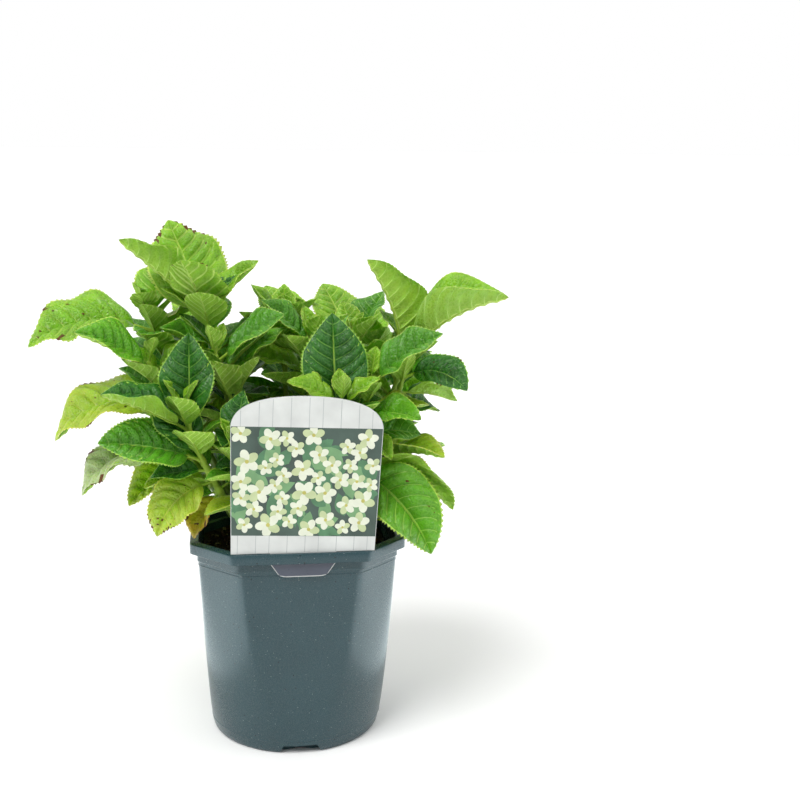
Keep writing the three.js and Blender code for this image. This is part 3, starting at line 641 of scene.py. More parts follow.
def surface(name, code, rough, mottle, scale, bump, fine, spread=0.08, specular=0.5, under=0.0, specks=(),
            net=None):
    """Material whose colour, roughness and relief vary by noise in the object's own space."""
    made = bpy.data.materials.new(name)
    made.use_nodes = True
    tree = made.node_tree
    place = node(tree, "TexCoord", {}).outputs["Object"]
    cloud = node(tree, "TexNoise", {"Vector": place, "Scale": scale, "Detail": 4})
    ramp = node(tree, "ValToRGB", {"Fac": cloud.outputs["Fac"]})
    base = linear(code)
    for stop, at, share in zip(ramp.color_ramp.elements, RAMP, (1 - mottle, 1 + mottle)):
        stop.position = at
        stop.color = [min(1, c * share) for c in base] + [1]
    colour = ramp.outputs["Color"]
    for kind in specks:
        colour = speckled(tree, place, colour, *kind)
    grain = node(tree, "TexNoise", {"Vector": place, "Scale": fine, "Detail": 3}).outputs["Fac"]
    relief = {"Height": grain, "Strength": bump, "Distance": GRAIN_DEEP}
    if net:
        colour, height = netted(tree, place, colour, net)
        relief["Normal"] = node(tree, "Bump", {"Height": height, **PUCKER}).outputs["Normal"]
    span = node(tree, "MapRange", {"Value": grain, "To Min": max(0, rough - spread),
                                   "To Max": min(1, rough + spread)})
    look = {"Base Color": colour, "Roughness": span.outputs["Result"], "Specular IOR Level": specular,
            "Normal": node(tree, "Bump", relief).outputs["Normal"]}
    if under:
        look.update(UNDER_SKIN, **{"Subsurface Weight": under})
    feed(tree, tree.nodes["Principled BSDF"], look)
    return made


def overlaid(tree, share, colour, code):
    """A colour with another one over it by a share."""
    inputs = {"Factor": share, "A": colour, "B": linear(code) + [1]}
    return node(tree, "Mix", inputs, data_type="RGBA").outputs["Result"]


def netted(tree, place, colour, code):
    """A fine net of veins with puckered cells between them: the colour and the height."""
    cells = node(tree, "TexVoronoi", {"Vector": place, "Scale": NET.scale}, feature="DISTANCE_TO_EDGE")
    away = cells.outputs["Distance"]
    edge = node(tree, "MapRange", {"Value": away, "From Max": NET.wide, "To Min": NET.strength,
                                   "To Max": 0})
    dome = node(tree, "MapRange", {"Value": away, "From Max": NET.dome}, interpolation_type="SMOOTHSTEP")
    return overlaid(tree, edge.outputs["Result"], colour, code), dome.outputs["Result"]


def speckled(tree, place, colour, code, scale, size):
    """Small specks of another colour."""
    cells = node(tree, "TexVoronoi", {"Vector": place, "Scale": scale})
    near = node(tree, "Math", {0: cells.outputs["Distance"], 1: size}, operation="LESS_THAN")
    return overlaid(tree, near.outputs["Value"], colour, code)


# Leaf tones: blade, blade towards its margin, veins, margin
TONES = {
    "deep": ("235C15", "286416", "679E42", "8DBB45"),
    "mid": ("458414", "4B8A17", "86B850", "9CC54C"),
    "fresh": ("57981A", "5D9D1B", "93C24E", "A8CE4E"),
    "bright": ("76AA1E", "7DAF20", "ABCE52", "B8D456"),
    "pale": ("98B82C", "A3BC34", "BCCB52", "CCD056"),
    "old": ("B1A824", "BDA424", "CEBE41", "B98D26"),
    "grey": ("A2B478", "A9BB80", "BAC89A", "B7C590"),
}
UNDER = {"under": "93C040", "under_vein": "BAD96C", "brown": "5C3318", "petiole": "9BBA42"}
LEAF_KINDS, LEAF_MATERIALS = {}, []


def leaf_material(kind, name, code, **look):
    LEAF_KINDS[kind] = len(LEAF_MATERIALS)
    LEAF_MATERIALS.append(surface(f"leaf_{name}", code, bump=0.3, under=0.3, **look))


for tone, codes in TONES.items():
    for part, code in zip(("blade", "light", "vein", "margin"), codes):
        leaf_material((tone, part), f"{tone}_{part}", code, rough=0.32, mottle=0.2, scale=55, fine=1400,
                      specular=0.38, net=codes[2] if part in ("blade", "light") else None)
for part, code in UNDER.items():
    leaf_material(part, part, code, rough=0.55, mottle=0.12, scale=90, fine=1200, specular=0.25,
                  net=UNDER["under_vein"] if part == "under" else None)

# A blade's strips run out from its midrib, at the shares across, and its rows follow its side veins.
# full, thick, rib and vein_rib are in millimetres, and the other sizes are shares of its length or width
BLADE = Size(full=90, cells=(5, 8), across=(0, 0.035, 0.16, 0.34, 0.55, 0.76, 0.975, 1.0), lean=0.42,
             lean_power=6, sweep=0.65, even_from=0.7, even_over=0.2, tooth=0.025, tooth_forward=0.55,
             tooth_ease=8, teeth_per_mm=0.3, vein=0.09, bulge=0.052, bulge_powers=(0.7, 0.8), bulge_full=0.3,
             arch=1.45, midrib=0.018, midrib_wide=0.09, thick=0.45, rib=0.9, rib_wide=0.9, vein_rib=1.1,
             wave=0.07, wave_shift=0.35, point=(0.6, 0.3))
# The strips of a blade where its colours start or stop, and how far along its light tip starts
PATTERN = Size(vein=1, light=4, side_vein=5, margin=6, light_tip=0.86)


def margin_at(r):
    """How far along the blade its margin is where a side vein that leaves the midrib at r comes out."""
    return r + BLADE.lean * (1 - r) * (1 - (1 - r) ** BLADE.lean_power)


def rows_of(leaf):
    """The rows of a blade. Each follows a side vein, and every second one ends in a tooth."""
    cells = round(mix(*BLADE.cells, min(1, leaf["length"] / BLADE.full)))
    reaches = np.diff(margin_at(np.arange(cells + 1) / cells)) * leaf["length"]
    even, narrow, step = [], [], []
    for cell, reach in enumerate(reaches):
        count = 2 * max(1, round(reach * BLADE.teeth_per_mm))
        for k in range(count):
            even.append((cell + k / count) / cells)
            inner = mix(BLADE.vein, 1, (k - 1) / (count - 1)) if k else 0
            narrow.append((cell + inner) / cells)
            step.append(k)
    return cells, np.array(even + [1]), np.array(narrow + [1]), np.array(step + [0])


def blade_halves(leaf, cells, even, narrow):
    """The points of a blade's left and right half, from the midrib out, and their normals."""
    length, wave, calm = leaf["length"], leaf["wave"], leaf.get("calm", 1)
    across = np.array(BLADE.across)
    r = mix(narrow[:, None], even[:, None], np.clip((across - BLADE.even_from) / BLADE.even_over, 0, 1))
    u = mix(r, margin_at(r), BLADE.sweep * across + (1 - BLADE.sweep) * across ** 2)
    ease = BLADE.tooth_ease
    tooth = (np.arange(len(even)) % 2) * np.clip(even * ease, 0, 1) * np.clip((1 - even) * ease, 0, 1)
    u[:-1, -1] += tooth[:-1] * BLADE.tooth_forward * np.diff(u[:, -1])
    half = half_width(leaf, np.clip(u, 1e-6, 1 - 1e-6))
    start, narrowing = BLADE.point
    half = half * (1 - narrowing * np.clip((u - start) / (1 - start), 0, 1))
    half = np.maximum(half, mix(LEAF.petiole_wide / 2, LEAF.tip_wide / 4, u))
    along_vein = np.mod(narrow * cells, 1)[:, None]
    powers = BLADE.bulge_powers
    bulge = np.sin(math.pi * along_vein) ** powers[0] * np.sin(math.pi * across ** powers[1])
    fold = math.radians(leaf["fold"])
    out = half * across * math.cos(fold)
    out[:, -1] += BLADE.tooth * length * tooth
    lift = half * math.sin(fold) * (BLADE.arch * across + (1 - BLADE.arch) * across ** 2)
    room = np.clip(half / (BLADE.bulge_full * leaf["width"]), 0, 1)
    lift += calm * BLADE.bulge * length * bulge * room
    rib = np.exp(-(across / BLADE.midrib_wide) ** 2)
    lift -= BLADE.midrib * length * rib * np.sin(math.pi * np.clip(u, 0, 1)) ** 0.5
    at, side, normal = spine(leaf, leaf["petiole"] + u * length)
    halves = []
    for sign, shift in ((1, 0), (-1, BLADE.wave_shift)):
        ripple = np.sin(2 * math.pi * (u * wave[0] + wave[1] + shift)) * across ** 2 * np.sin(math.pi * u)
        up = lift + calm * BLADE.wave * leaf["width"] * ripple
        halves.append(at + sign * out[..., None] * side + up[..., None] * normal)
    return halves, normal


def blade(leaf, heap, tone, brown):
    """A toothed blade with sunk veins, closed top and bottom, whose rows follow its side veins."""
    size = leaf["length"] / BLADE.full
    cells, even, narrow, step = rows_of(leaf)
    (left, right), normal = blade_halves(leaf, cells, even, narrow)
    top = np.concatenate([left[:, ::-1], right[:, 1:]], axis=1)
    normals = np.concatenate([normal[:, ::-1], normal[:, 1:]], axis=1)
    rows, columns = top.shape[:2]
    column = np.abs(np.arange(columns) - columns // 2)
    thick = BLADE.thick * min(1, 0.5 + size / 2)
    rib = np.exp(-(column / BLADE.rib_wide) ** 2) * BLADE.rib * size
    side_rib = (step < 2)[:, None] * (column < PATTERN.margin) * BLADE.vein_rib * size
    under = top - normals * (thick + rib + side_rib)[..., None]
    index = np.arange(rows * columns).reshape(rows, columns)
    inner = np.zeros((rows, columns), bool)
    inner[1:-1, 1:-1] = True
    low = index.copy()
    low[inner] = rows * columns + np.arange(inner.sum())

    def quads(number):
        return np.stack([number[:-1, :-1], number[:-1, 1:], number[1:, 1:], number[1:, :-1]],
                        axis=-1).reshape(-1, 4)

    strip = (np.abs(np.arange(columns - 1) - (columns - 2) / 2) - 0.5)[None, :]
    row = np.arange(rows - 1)[:, None]
    is_vein = (step[:-1, None] == 0) & (row > 0)
    kind = np.select([strip >= PATTERN.margin,
                      (strip < PATTERN.vein) | is_vein & (strip < PATTERN.side_vein),
                      (strip >= PATTERN.light) | (row > (rows - 1) * PATTERN.light_tip)],
                     [LEAF_KINDS[tone, part] for part in ("margin", "vein", "light")],
                     LEAF_KINDS[tone, "blade"])
    low_kind = np.where(is_vein | (strip < PATTERN.vein), LEAF_KINDS["under_vein"], LEAF_KINDS["under"])
    if brown:
        spots, share = brown
        if share:
            dead = dead_margin(strip, row / rows, share, leaf["random"])
            kind[dead] = low_kind[dead] = LEAF_KINDS["brown"]
        for _ in range(spots):
            spot(heap, top, normals, leaf["random"])
    heap.add(np.concatenate([top.reshape(-1, 3), under[inner]]),
             np.concatenate([quads(index)[:, ::-1], quads(low)]),
             np.concatenate([kind.ravel(), low_kind.ravel()]))


# Dead margins: where a run starts, its strips, how many it reaches in, and how ragged it is
DEAD = Size(start=0.45, start_jitter=0.3, strips=7, deep=2.6, ragged=(0.7, 0.3, 90), none_below=0.3)


def dead_margin(strip, along, share, random):
    """Faces of a blade's margin that are dead, in a run that reaches further in at its middle."""
    start = DEAD.start + DEAD.start_jitter * random()
    run = np.clip(1 - np.abs(along - start - share / 2) / share, 0, 1)
    least, more, waves = DEAD.ragged
    depth = DEAD.strips - DEAD.deep * run * (least + more * np.sin(along * waves))
    return (strip >= depth) & (run > 0) & (along > DEAD.none_below)


SPOT = Size(corners=7, rows=(0.25, 0.95), columns=(0.1, 0.9), size=(0.5, 2.0), reach=0.6, narrow=0.7,
            proud=(0.12, 0.16), below=(0.15, 0.2))


def spot(heap, top, normals, random):
    """A small brown spot that lies on a blade, on both its sides."""
    rows, columns = top.shape[:2]
    i = int(mix(*SPOT.rows, random()) * (rows - 2))
    j = int(mix(*SPOT.columns, random()) * (columns - 2))
    size = mix(*SPOT.size, random() ** 2)
    across, along = unit(top[i, j + 1] - top[i, j]), unit(top[i + 1, j] - top[i, j])
    at = mix(top[i, j], top[i + 1, j + 1], random())
    normal = unit(np.cross(along, across))
    normal = normal * np.sign(normal @ normals[i, j])
    angle = np.arange(SPOT.corners) * 2 * math.pi / SPOT.corners
    reach = size * np.array([SPOT.reach + SPOT.reach * random() for _ in angle])
    ring = (at + across * (np.cos(angle) * reach)[:, None]
            + along * (np.sin(angle) * reach * SPOT.narrow)[:, None])
    edge_up, middle_up = SPOT.proud
    edge_down, middle_down = (BLADE.thick + depth for depth in SPOT.below)
    heap.add_slab(np.vstack([ring + normal * edge_up, at + normal * middle_up]),
                  np.vstack([ring - normal * edge_down, at - normal * middle_down]), LEAF_KINDS["brown"])


# Stalks: radii from the cane to the blade and on under it, and how far the middle lies below the blade
STALK = Size(full=80, start=0.8, radius=(1.75, 1.35), foot=(1.5, 1.2), under=(0.08, 0.8),
             under_radius=(1.25, 0.3), drops=(0.2, 1.05), clear=0.9, sides=8)


def stalk(leaf, heap):
    """The stalk of a leaf, which runs on under the blade as its midrib."""
    size = math.sqrt(leaf["length"] / STALK.full)
    s = np.concatenate([np.linspace(STALK.start, leaf["petiole"], 7),
                        leaf["petiole"] + np.linspace(*STALK.under, 8) * leaf["length"]])
    at, _, normal = spine(leaf, s)
    along = (s - leaf["petiole"]) / leaf["length"]
    free = along <= 0
    radius = size * np.where(free, mix(*STALK.radius, s / leaf["petiole"]),
                             mix(*STALK.under_radius, along / STALK.under[1]))
    radius[:2] *= STALK.foot
    drop = np.where(free, *STALK.drops) * radius + np.where(free, 0, STALK.clear * size)
    rings, ends = tube(at - normal * drop[:, None], radius, STALK.sides, up=normal[0])
    heap.add_rings(rings, ends, LEAF_KINDS["petiole"], LEAF_KINDS["petiole"])


# Tones by a leaf's place on its shoot, from the lowest to the tip, where its row names none
AGE_TONES = ("pale", "deep", "mid", "mid", "fresh", "bright")
AGE_JITTER = 0.3
# Browned leaves by their shoot, pair and heading: how many spots, and the share of the margin that is dead
BROWNED = {("left_top", 374, 120): (10, 0.3), ("left_top", 374, -118): (8, 0.08),
           ("far_left", 369, -169): (26, 0.06), ("left_mid", 302, 177): (30, 0.1),
           ("left_mid", 264, 179): (16, 0.12), ("left_low", 248, -150): (14, 0.25),
           ("left_low", 238, -140): (8, 0.3), ("right_low", 332, -32): (3, 0.1),
           ("right_front", 256, -36): (5, 0)}
BROWN_TURN = 28
WAVES = (1.2, 1.4)


def tone_of(leaf, random):
    age = min(max(leaf["age"] + (random() - 0.5) * AGE_JITTER, 0), 0.999)
    return leaf["tone"] or AGE_TONES[int(age * len(AGE_TONES))]


def brown_of(shoot, leaf):
    for (name, z, heading), how in BROWNED.items():
        if name == shoot["name"] and z == leaf["pair"] and abs(leaf["heading"] - heading) < BROWN_TURN:
            return how
    return None


def swellings(heights, joints, size, reach):
    """What its joints add to a cane's radius, at heights along it."""
    return sum(size * np.exp(-((heights - z) / reach) ** 2) for z in joints)


BOUGH = Size(rings=60, sides=12, joint=(0.75, 2.6), gap_spare=1.15)


def grow_mass(shoot, number):
    """A shoot's blades as one piece, and its bough and stalks as another."""
    random = seeded(*LOOKS_SEED, number)
    blades, twigs = Heap(), Heap()
    for leaf in shoot["leaves"]:
        leaf["wave"] = (WAVES[0] + WAVES[1] * random(), random())
        leaf["random"] = random
        tone = tone_of(leaf, random)
        blade(leaf, blades, tone, brown_of(shoot, leaf))
        stalk(leaf, twigs)
    line, share = shoot["line"], np.linspace(0, 1, BOUGH.rings)
    centres = line.point(mix(shoot["t"] + GAP * BOUGH.gap_spare / line.chord, 1, share))
    joints = {leaf["pair"] for leaf in shoot["leaves"]}
    radius = mix(STEM.cane, STEM.tip, share) + swellings(centres[:, 2], joints, *BOUGH.joint)
    twigs.add_rings(*tube(centres, radius, BOUGH.sides), LEAF_KINDS["petiole"], LEAF_KINDS["petiole"])
    for kind, heap in (("leaves", blades), ("twigs", twigs)):
        made = heap.build(f"{kind}_{shoot['name']}", LEAF_MATERIALS)
        stands_for(made, "leaf", f"foliage_{shoot['name']}")


BARK = [surface("cane_green", "7E9A45", 0.55, mottle=0.2, scale=120, bump=0.5, fine=700),
        surface("cane_brown", "7A6238", 0.7, mottle=0.25, scale=140, bump=0.8, fine=500)]
CANE = Size(rings=50, sides=14, relief=0.07, ridges=1.5, ridge_rise=0.12, apart=9, joint=(0.7, 2.2),
            joints_below=(24, 46), brown=(12, 5))


def grow_cane(shoot, number):
    """A shoot's cane with its bark's relief, brown at the foot and green above."""
    centres = shoot["line"].point(np.linspace(0, 1, CANE.rings) * shoot["t"])
    angle = 2 * math.pi * np.arange(CANE.sides) / CANE.sides
    places = [[(math.cos(a) * CANE.ridges, math.sin(a) * CANE.ridges,
                z * CANE.ridge_rise + number * CANE.apart) for a in angle] for z in centres[:, 2]]
    relief = np.array([[noise.noise(Vector(place)) for place in row] for row in places])
    radius = mix(STEM.foot, STEM.cane, np.linspace(0, 1, CANE.rings))[:, None]
    radius = radius * (1 + CANE.relief * relief)
    joints = [shoot["start"] - below for below in CANE.joints_below]
    radius = radius + swellings(centres[:, 2], joints, *CANE.joint)[:, None]
    row = np.arange((CANE.rings - 1) * CANE.sides) // CANE.sides
    brown_rows = CANE.brown[0] + CANE.brown[1] * (number % 3)
    heap = Heap()
    heap.add_rings(*tube(centres, radius, CANE.sides), np.where(row < brown_rows, 1, 0), 1)
    stands_for(heap.build(f"cane_{shoot['name']}", BARK), "cane", f"stem_{shoot['name']}")


for grow in (grow_mass, grow_cane):
    for number, shoot in enumerate(crown.shoots):
        grow(shoot, number)

# Pot
QUARTER = math.pi / 2
POT_SIDES = 384
BEARINGS = np.arange(POT_SIDES) * 2 * math.pi / POT_SIDES


def outline(flat, corner, circle):
    """Reach of the pot's outline in every bearing: flats, corner flats and a circle, whichever is least."""
    from_flat = np.abs(BEARINGS - QUARTER * np.round(BEARINGS / QUARTER))
    values = np.stack([flat / np.cos(from_flat), corner / np.cos(math.pi / 4 - from_flat),
                       np.full_like(BEARINGS, circle)])
    least = values.min(axis=0)
    return least - SOFT_CORNER * np.log(np.exp((least - values) / SOFT_CORNER).sum(axis=0))


def ring(z, r):
    r = np.broadcast_to(r, BEARINGS.shape)
    return np.stack([r * np.cos(BEARINGS), r * np.sin(BEARINGS), np.full(BEARINGS.shape, z)], axis=1)


def cone(z):
    return mix(ROUND.low, ROUND.high, (z / ROUND.top) ** ROUND.power)


def wall_ring(z, inset, proud=0.0):
    flat, corner = (np.interp(z, *np.array(BODY).T[[0, i]]) for i in (1, 2))
    return ring(z, outline(flat - inset, corner - inset, cone(z) - inset) + proud)


def seam(heights, proud):
    """A thin raised line round the body."""
    return [wall_ring(z, 0, out) for z, out in zip(heights, (0, proud, proud, 0))]


def skirt(z, inset):
    return ring(z, outline(POT.lip_half - inset, POT.lip_cut - inset, NO_CIRCLE))


def collar(z, inset):
    return ring(z, outline(COLLAR[1] - inset, COLLAR[2] - inset, cone(ROUND.top) + 3 - inset))


def lathe(rings):
    heap, rings = Heap(), np.stack(rings)
    heap.add_rings(rings, rings[[0, -1]].mean(axis=1), 0, 0)
    return heap


def pot_heap():
    """The pot's shell, from the middle of its underside out, up, over the lip and down inside."""
    high, under, wall = POT.height, POT.height - POT.lip_drop, POT.wall
    foot, inner, outer, recess = POT.foot_radius, POT.ring_in, POT.ring_out, POT.recess
    rings = [ring(z, r) for z, r in (
        (0, foot), (recess, foot + 1.5), (recess, inner - 2), (0.5, inner - 0.2), (0, inner + 0.4),
        (0, outer - 0.5), (0.5, outer), (2.5, outer + 1.6), (6.5, outer + 2.6))]
    rings += seam((11.6, 11.9, 12.4, 12.7), 0.25)
    rings += [wall_ring(z, 0) for z in np.linspace(16, 170, 23)]
    rings += seam((171.4, 171.8, 172.6, 173), 0.3) + [wall_ring(175, 0)]
    rings += [collar(z, inset) for z, inset in (
        (176.2, 0.35), (176.8, 0), (under - 0.5, 0), (high - 2, 0.2), (high - 1.6, 0.6))]
    rings += [skirt(z, inset) for z, inset in (
        (high - 1.6, 1.5), (under + 0.4, 1.5), (under, 1.2), (under, 0.4), (under + 0.4, 0), (high - 1.0, 0),
        (high - 0.3, 0.3), (high, 1.0))]
    rings += [collar(z, inset) for z, inset in ((high, wall - 0.4), (high - 0.4, wall), (COLLAR[0], wall))]
    rings += [wall_ring(z, wall) for z in np.linspace(175, 12, 12)]
    return lathe(rings + [ring(POT.floor_top, outer + 0.6)])


def box_mesh(sizes, middle, turn=0.0, splay=1.0):
    """A box to cut with, which splay makes wider below."""
    mesh = bpy.data.meshes.new("cut")
    form = bmesh.new()
    place = Matrix.Rotation(turn, 4, "Z") @ Matrix.Translation(Vector(middle) * MM)
    bmesh.ops.create_cube(form, size=1)
    for corner in form.verts:
        corner.co.y *= splay if corner.co.z < 0 else 1
    form.transform(place @ Matrix.Diagonal((*(Vector(sizes) * MM), 1)))
    form.to_mesh(mesh)
    form.free()
    return placed("cut", mesh)


def carve(target, cutters):
    """Takes the cutters out of the target, and removes them."""
    for cutter in cutters:
        change = target.modifiers.new("cut", "BOOLEAN")
        change.operation, change.solver, change.object = "DIFFERENCE", "EXACT", cutter
    ready = target.evaluated_get(bpy.context.evaluated_depsgraph_get())
    old = target.data
    target.data = bpy.data.meshes.new_from_object(ready)
    target.modifiers.clear()
    bpy.data.meshes.remove(old)
    for cutter in cutters:
        bpy.data.objects.remove(cutter)


# Specks on the pot: their colour, how many there are to the metre, and their size
POT_SPECKS = (("A3AFAC", 240, 0.068), ("0A1417", 120, 0.07), ("142328", 230, 0.08))
POT_PLASTIC = surface("pot_plastic", "2A454B", 0.27, mottle=0.05, scale=25, bump=0.1, fine=1600, spread=0.06,
                      specks=POT_SPECKS)
POT_SHARP = 28
NOTCH_DEEP, NOTCH_SPLAY, SLOT_DEEP = 14, 1.5, 6
pot = pot_heap().build("pot_shell", [POT_PLASTIC], smooth=POT_SHARP)
cutters = [box_mesh((NOTCH_DEEP, NOTCH.width, 2 * NOTCH.height), (POT.ring_out - 1, 0, 0),
                    math.radians(NOTCH.first + i * 360 / NOTCH.count), splay=NOTCH_SPLAY)
           for i in range(NOTCH.count)]
cutters.append(box_mesh((SLOT.width, SLOT.depth, SLOT_DEEP),
                        (CARD.centre, SLOT.y, POT.height)))
cutters += [box_mesh((SIDE_SLOT.width, SIDE_SLOT.length, SLOT_DEEP),
                     (side * SIDE_SLOT.x, 0, POT.height)) for side in (-1, 1)]
carve(pot, cutters)
pot.data.set_sharp_from_angle(angle=math.radians(POT_SHARP))
stands_for(pot, "pot", "pot")

# Soil: a crumbly top on the pot's fill, with bits of bark and coir
SOIL = [surface("compost", "2A1F18", 0.95, mottle=0.5, scale=260, bump=1.0, fine=900, specular=0.2),
        surface("bark_bits", "4A3323", 0.9, mottle=0.4, scale=200, bump=0.8, fine=900, specular=0.2),
        surface("pale_bits", "8E8069", 0.85, mottle=0.3, scale=200, bump=0.6, fine=900, specular=0.3)]
SOIL_INSET = POT.wall + SOIL_CLEAR
SOIL_EDGE = wall_ring(SOIL_TOP, SOIL_INSET + 0.5)
# Lumps of the soil's top: their height and how many to the millimetre. They ease in from its edge, inside
# which it has settled by a millimetre
LUMPS = ((2.2, 0.11), (1.6, 0.35), (0.8, 0.8))
TOP = Size(rings=70, middle=0.02, ease=8, settle=12)
CRUMBS = Size(count=2600, spread=0.955, compost=0.72, bark=0.8, size=(1.2, 4.8), bark_size=1.5,
              other_size=0.8, narrow=(0.3, 0.9), high=(0.8, 1.8), sunk=0.4, rise=1.2)


def soil_heap():
    rings = [ring(POT.floor_top + GAP, POT.ring_out - SOIL_CLEAR)]
    rings += [wall_ring(z, SOIL_INSET) for z, _, _ in BODY[:-1]]
    for share in np.linspace(1, TOP.middle, TOP.rings):
        top = SOIL_EDGE * np.array([share, share, 1])
        lumps = [sum(high * noise.noise(Vector(p * fine)) for high, fine in LUMPS) for p in top]
        inward = 1 - share
        top[:, 2] += np.array(lumps) * min(1, inward * TOP.ease) - min(1, inward * TOP.settle)
        rings.append(top)
    return lathe(rings)


def crumb(random, at, size):
    """An irregular eight-cornered crumb."""
    turn = Matrix.Rotation(random() * 6.28, 3, "Z") @ Matrix.Rotation(random() * 6.28, 3, "X")
    corners = np.array([(x, y, z) for x in (-1, 1) for y in (-1, 1) for z in (-1, 1)], float)
    corners *= np.array(size) / 2 * (0.75 + 0.5 * np.array([random() for _ in range(24)]).reshape(8, 3))
    faces = [(0, 1, 3, 2), (4, 6, 7, 5), (0, 4, 5, 1), (2, 3, 7, 6), (0, 2, 6, 4), (1, 5, 7, 3)]
    return corners @ np.array(turn).T + at, faces


soil = soil_heap()
random = seeded(SOIL_SEED)
edge_reach = np.linalg.norm(SOIL_EDGE[:, :2], axis=1)
for _ in range(CRUMBS.count):
    bearing, share = random() * 2 * math.pi, math.sqrt(random()) * CRUMBS.spread
    reach = float(np.interp(bearing, BEARINGS, edge_reach, period=2 * math.pi)) * share
    kind = 0 if random() < CRUMBS.compost else (1 if random() < CRUMBS.bark else 2)
    long = mix(*CRUMBS.size, random() ** 2) * (CRUMBS.bark_size if kind == 1 else CRUMBS.other_size)
    at = np.array([reach * math.cos(bearing), reach * math.sin(bearing),
                   SOIL_TOP - CRUMBS.sunk + random() * CRUMBS.rise])
    size = (long, long * mix(*CRUMBS.narrow, random()), mix(*CRUMBS.high, random()))
    soil.add(*crumb(random, at, size), kind)
stands_for(soil.build("compost", SOIL, smooth=40), "soil", "soil")

# Card: a pale sheet with a plain board above and below, and a field of simple blossoms between them.
# Its colours: their code, roughness, mottle and its scale, bump and grain
INKS = dict(body=("C9CCCA", 0.35, 0.03, 30, 0.03, 600), board=("D0D3D0", 0.4, 0.1, 45, 0.05, 500),
            groove=("A9AFAE", 0.5, 0.06, 60, 0.05, 500), field=("3F5249", 0.35, 0.28, 38, 0.02, 600),
            leaf=("4C7A56", 0.35, 0.2, 90, 0.02, 600), leaf_light=("6F9A6A", 0.35, 0.12, 90, 0.02, 600),
            petal=("DCE1CD", 0.35, 0.06, 120, 0.02, 600),
            petal_shade=("BCC999", 0.35, 0.08, 120, 0.02, 600), eye=("B9B45C", 0.35, 0.1, 120, 0.02, 600),
            tab=("484E5B", 0.3, 0.06, 60, 0.03, 500))
PRINT = [surface(f"card_{ink}", *look) for ink, look in INKS.items()]
BOARD, GROOVE, FIELD, LEAF_DARK, LEAF_LIGHT, PETAL, PETAL_SHADE, EYE, TAB = range(1, 10)
FRONT, BACK = SLOT.y - CARD.thick / 2, SLOT.y + CARD.thick / 2


def card_sheet():
    sheet = card_outline(24)
    form = bmesh.new()
    near, far = ([form.verts.new((x * MM, y * MM, z * MM)) for x, z in sheet] for y in (FRONT, BACK))
    form.faces.new(near)
    form.faces.new(list(reversed(far)))
    for i in range(len(sheet)):
        j = (i + 1) % len(sheet)
        form.faces.new((near[j], near[i], far[i], far[j]))
    bmesh.ops.recalc_face_normals(form, faces=form.faces)
    bmesh.ops.triangulate(form, faces=form.faces)
    mesh = bpy.data.meshes.new("card_sheet")
    form.to_mesh(mesh)
    form.free()
    return piece("card_sheet", mesh, [PRINT[0]], smooth=30)


stands_for(card_sheet(), "card", "card")

# The print: heights of its field, of its lowest edge, and where its lower board would start uncut
FIELD_LOW, FIELD_TOP = 209.0, 304.0
PRINT_LOW = POT.height + GAP + 0.4
BOARD_LOW = PRINT_LOW - 3
INSET = 0.5
ARCH_SHARE = 0.992
GROOVES = Size(count=9, apart=14.0, wide=0.5, uneven=1.5, uneven_turn=2.1)
# How far the print's layers stand proud of the card, and what each next motif adds
PROUD = Size(board=0.03, groove=0.05, leaf=0.06, next_leaf=0.001, blossom=0.13, next_blossom=0.0015,
             petal=0.012, eye=0.07)
MOTIFS = Size(leaves=54, leaf_long=(15, 32), leaf_wide=(7, 13), dark=0.7, tries=400, blossoms=46,
              blossom=(6.5, 11), apart=0.78)
printed = Heap()


def half_at(z):
    return mix(CARD.bottom_half, CARD.shoulder_half,
               (z - POT.height) / (CARD.shoulder - POT.height)) - INSET


def lay(outline_points, kind, proud, askew=True):
    """Prints a flat outline on the card, given from its centre line, and a little proud of it."""
    points = np.asarray(outline_points, float)
    if askew:
        points = np.array([leant(x, z) for x, z in points])
        points[:, 1] = np.maximum(points[:, 1], PRINT_LOW)
    else:
        points = points + (CARD.centre, 0)
    every = np.vstack([points, points.mean(axis=0)])
    near = np.column_stack([every[:, 0], np.full(len(every), FRONT - proud), every[:, 1]])
    printed.add_slab(near, near + (0, proud + 0.02, 0), kind)


def lay_in_field(points, kind, proud):
    """Prints a motif, clipped to the field."""
    span = half_at(points[:, 1])
    lay(np.column_stack([np.clip(points[:, 0], -span, span),
                         np.clip(points[:, 1], FIELD_LOW + 0.2, FIELD_TOP - 0.2)]), kind, proud)


def turned(points, x, z, turn):
    c, s = math.cos(turn), math.sin(turn)
    return points @ np.array([[c, s], [-s, c]]) + (x, z)


def plain_leaf(x, z, length, width, turn, kind, proud):
    u = np.linspace(0, 1, 12)
    side = width / 2 * np.sin(math.pi * u ** 0.85)
    right, left = (np.column_stack([u * length, half]) for half in (side, -side))
    lay_in_field(turned(np.concatenate([right, left[-2:0:-1]]), x, z, turn), kind, proud)


BLOSSOM = Size(petals=5, corners=14, petal_at=0.52, petal_long=0.5, petal_wide=0.36, eye=0.16)


def blossom(x, z, size, turn, proud):
    """A simple blossom of round petals."""
    t = np.linspace(0, 2 * math.pi, BLOSSOM.corners, endpoint=False)
    petal = size * np.column_stack([BLOSSOM.petal_at + BLOSSOM.petal_long * np.cos(t),
                                    BLOSSOM.petal_wide * np.sin(t)])
    for i in range(BLOSSOM.petals):
        shape = turned(petal, x, z, turn + i * 2 * math.pi / BLOSSOM.petals)
        lay_in_field(shape, PETAL_SHADE if i % 2 else PETAL, proud + i * PROUD.petal)
    eye = size * BLOSSOM.eye * np.column_stack([np.cos(t), np.sin(t)])
    lay_in_field(eye + (x, z), EYE, proud + PROUD.eye)


def band(low, top, kind):
    lay([(-half_at(low), low), (half_at(low), low), (half_at(top), top), (-half_at(top), top)], kind,
        PROUD.board)


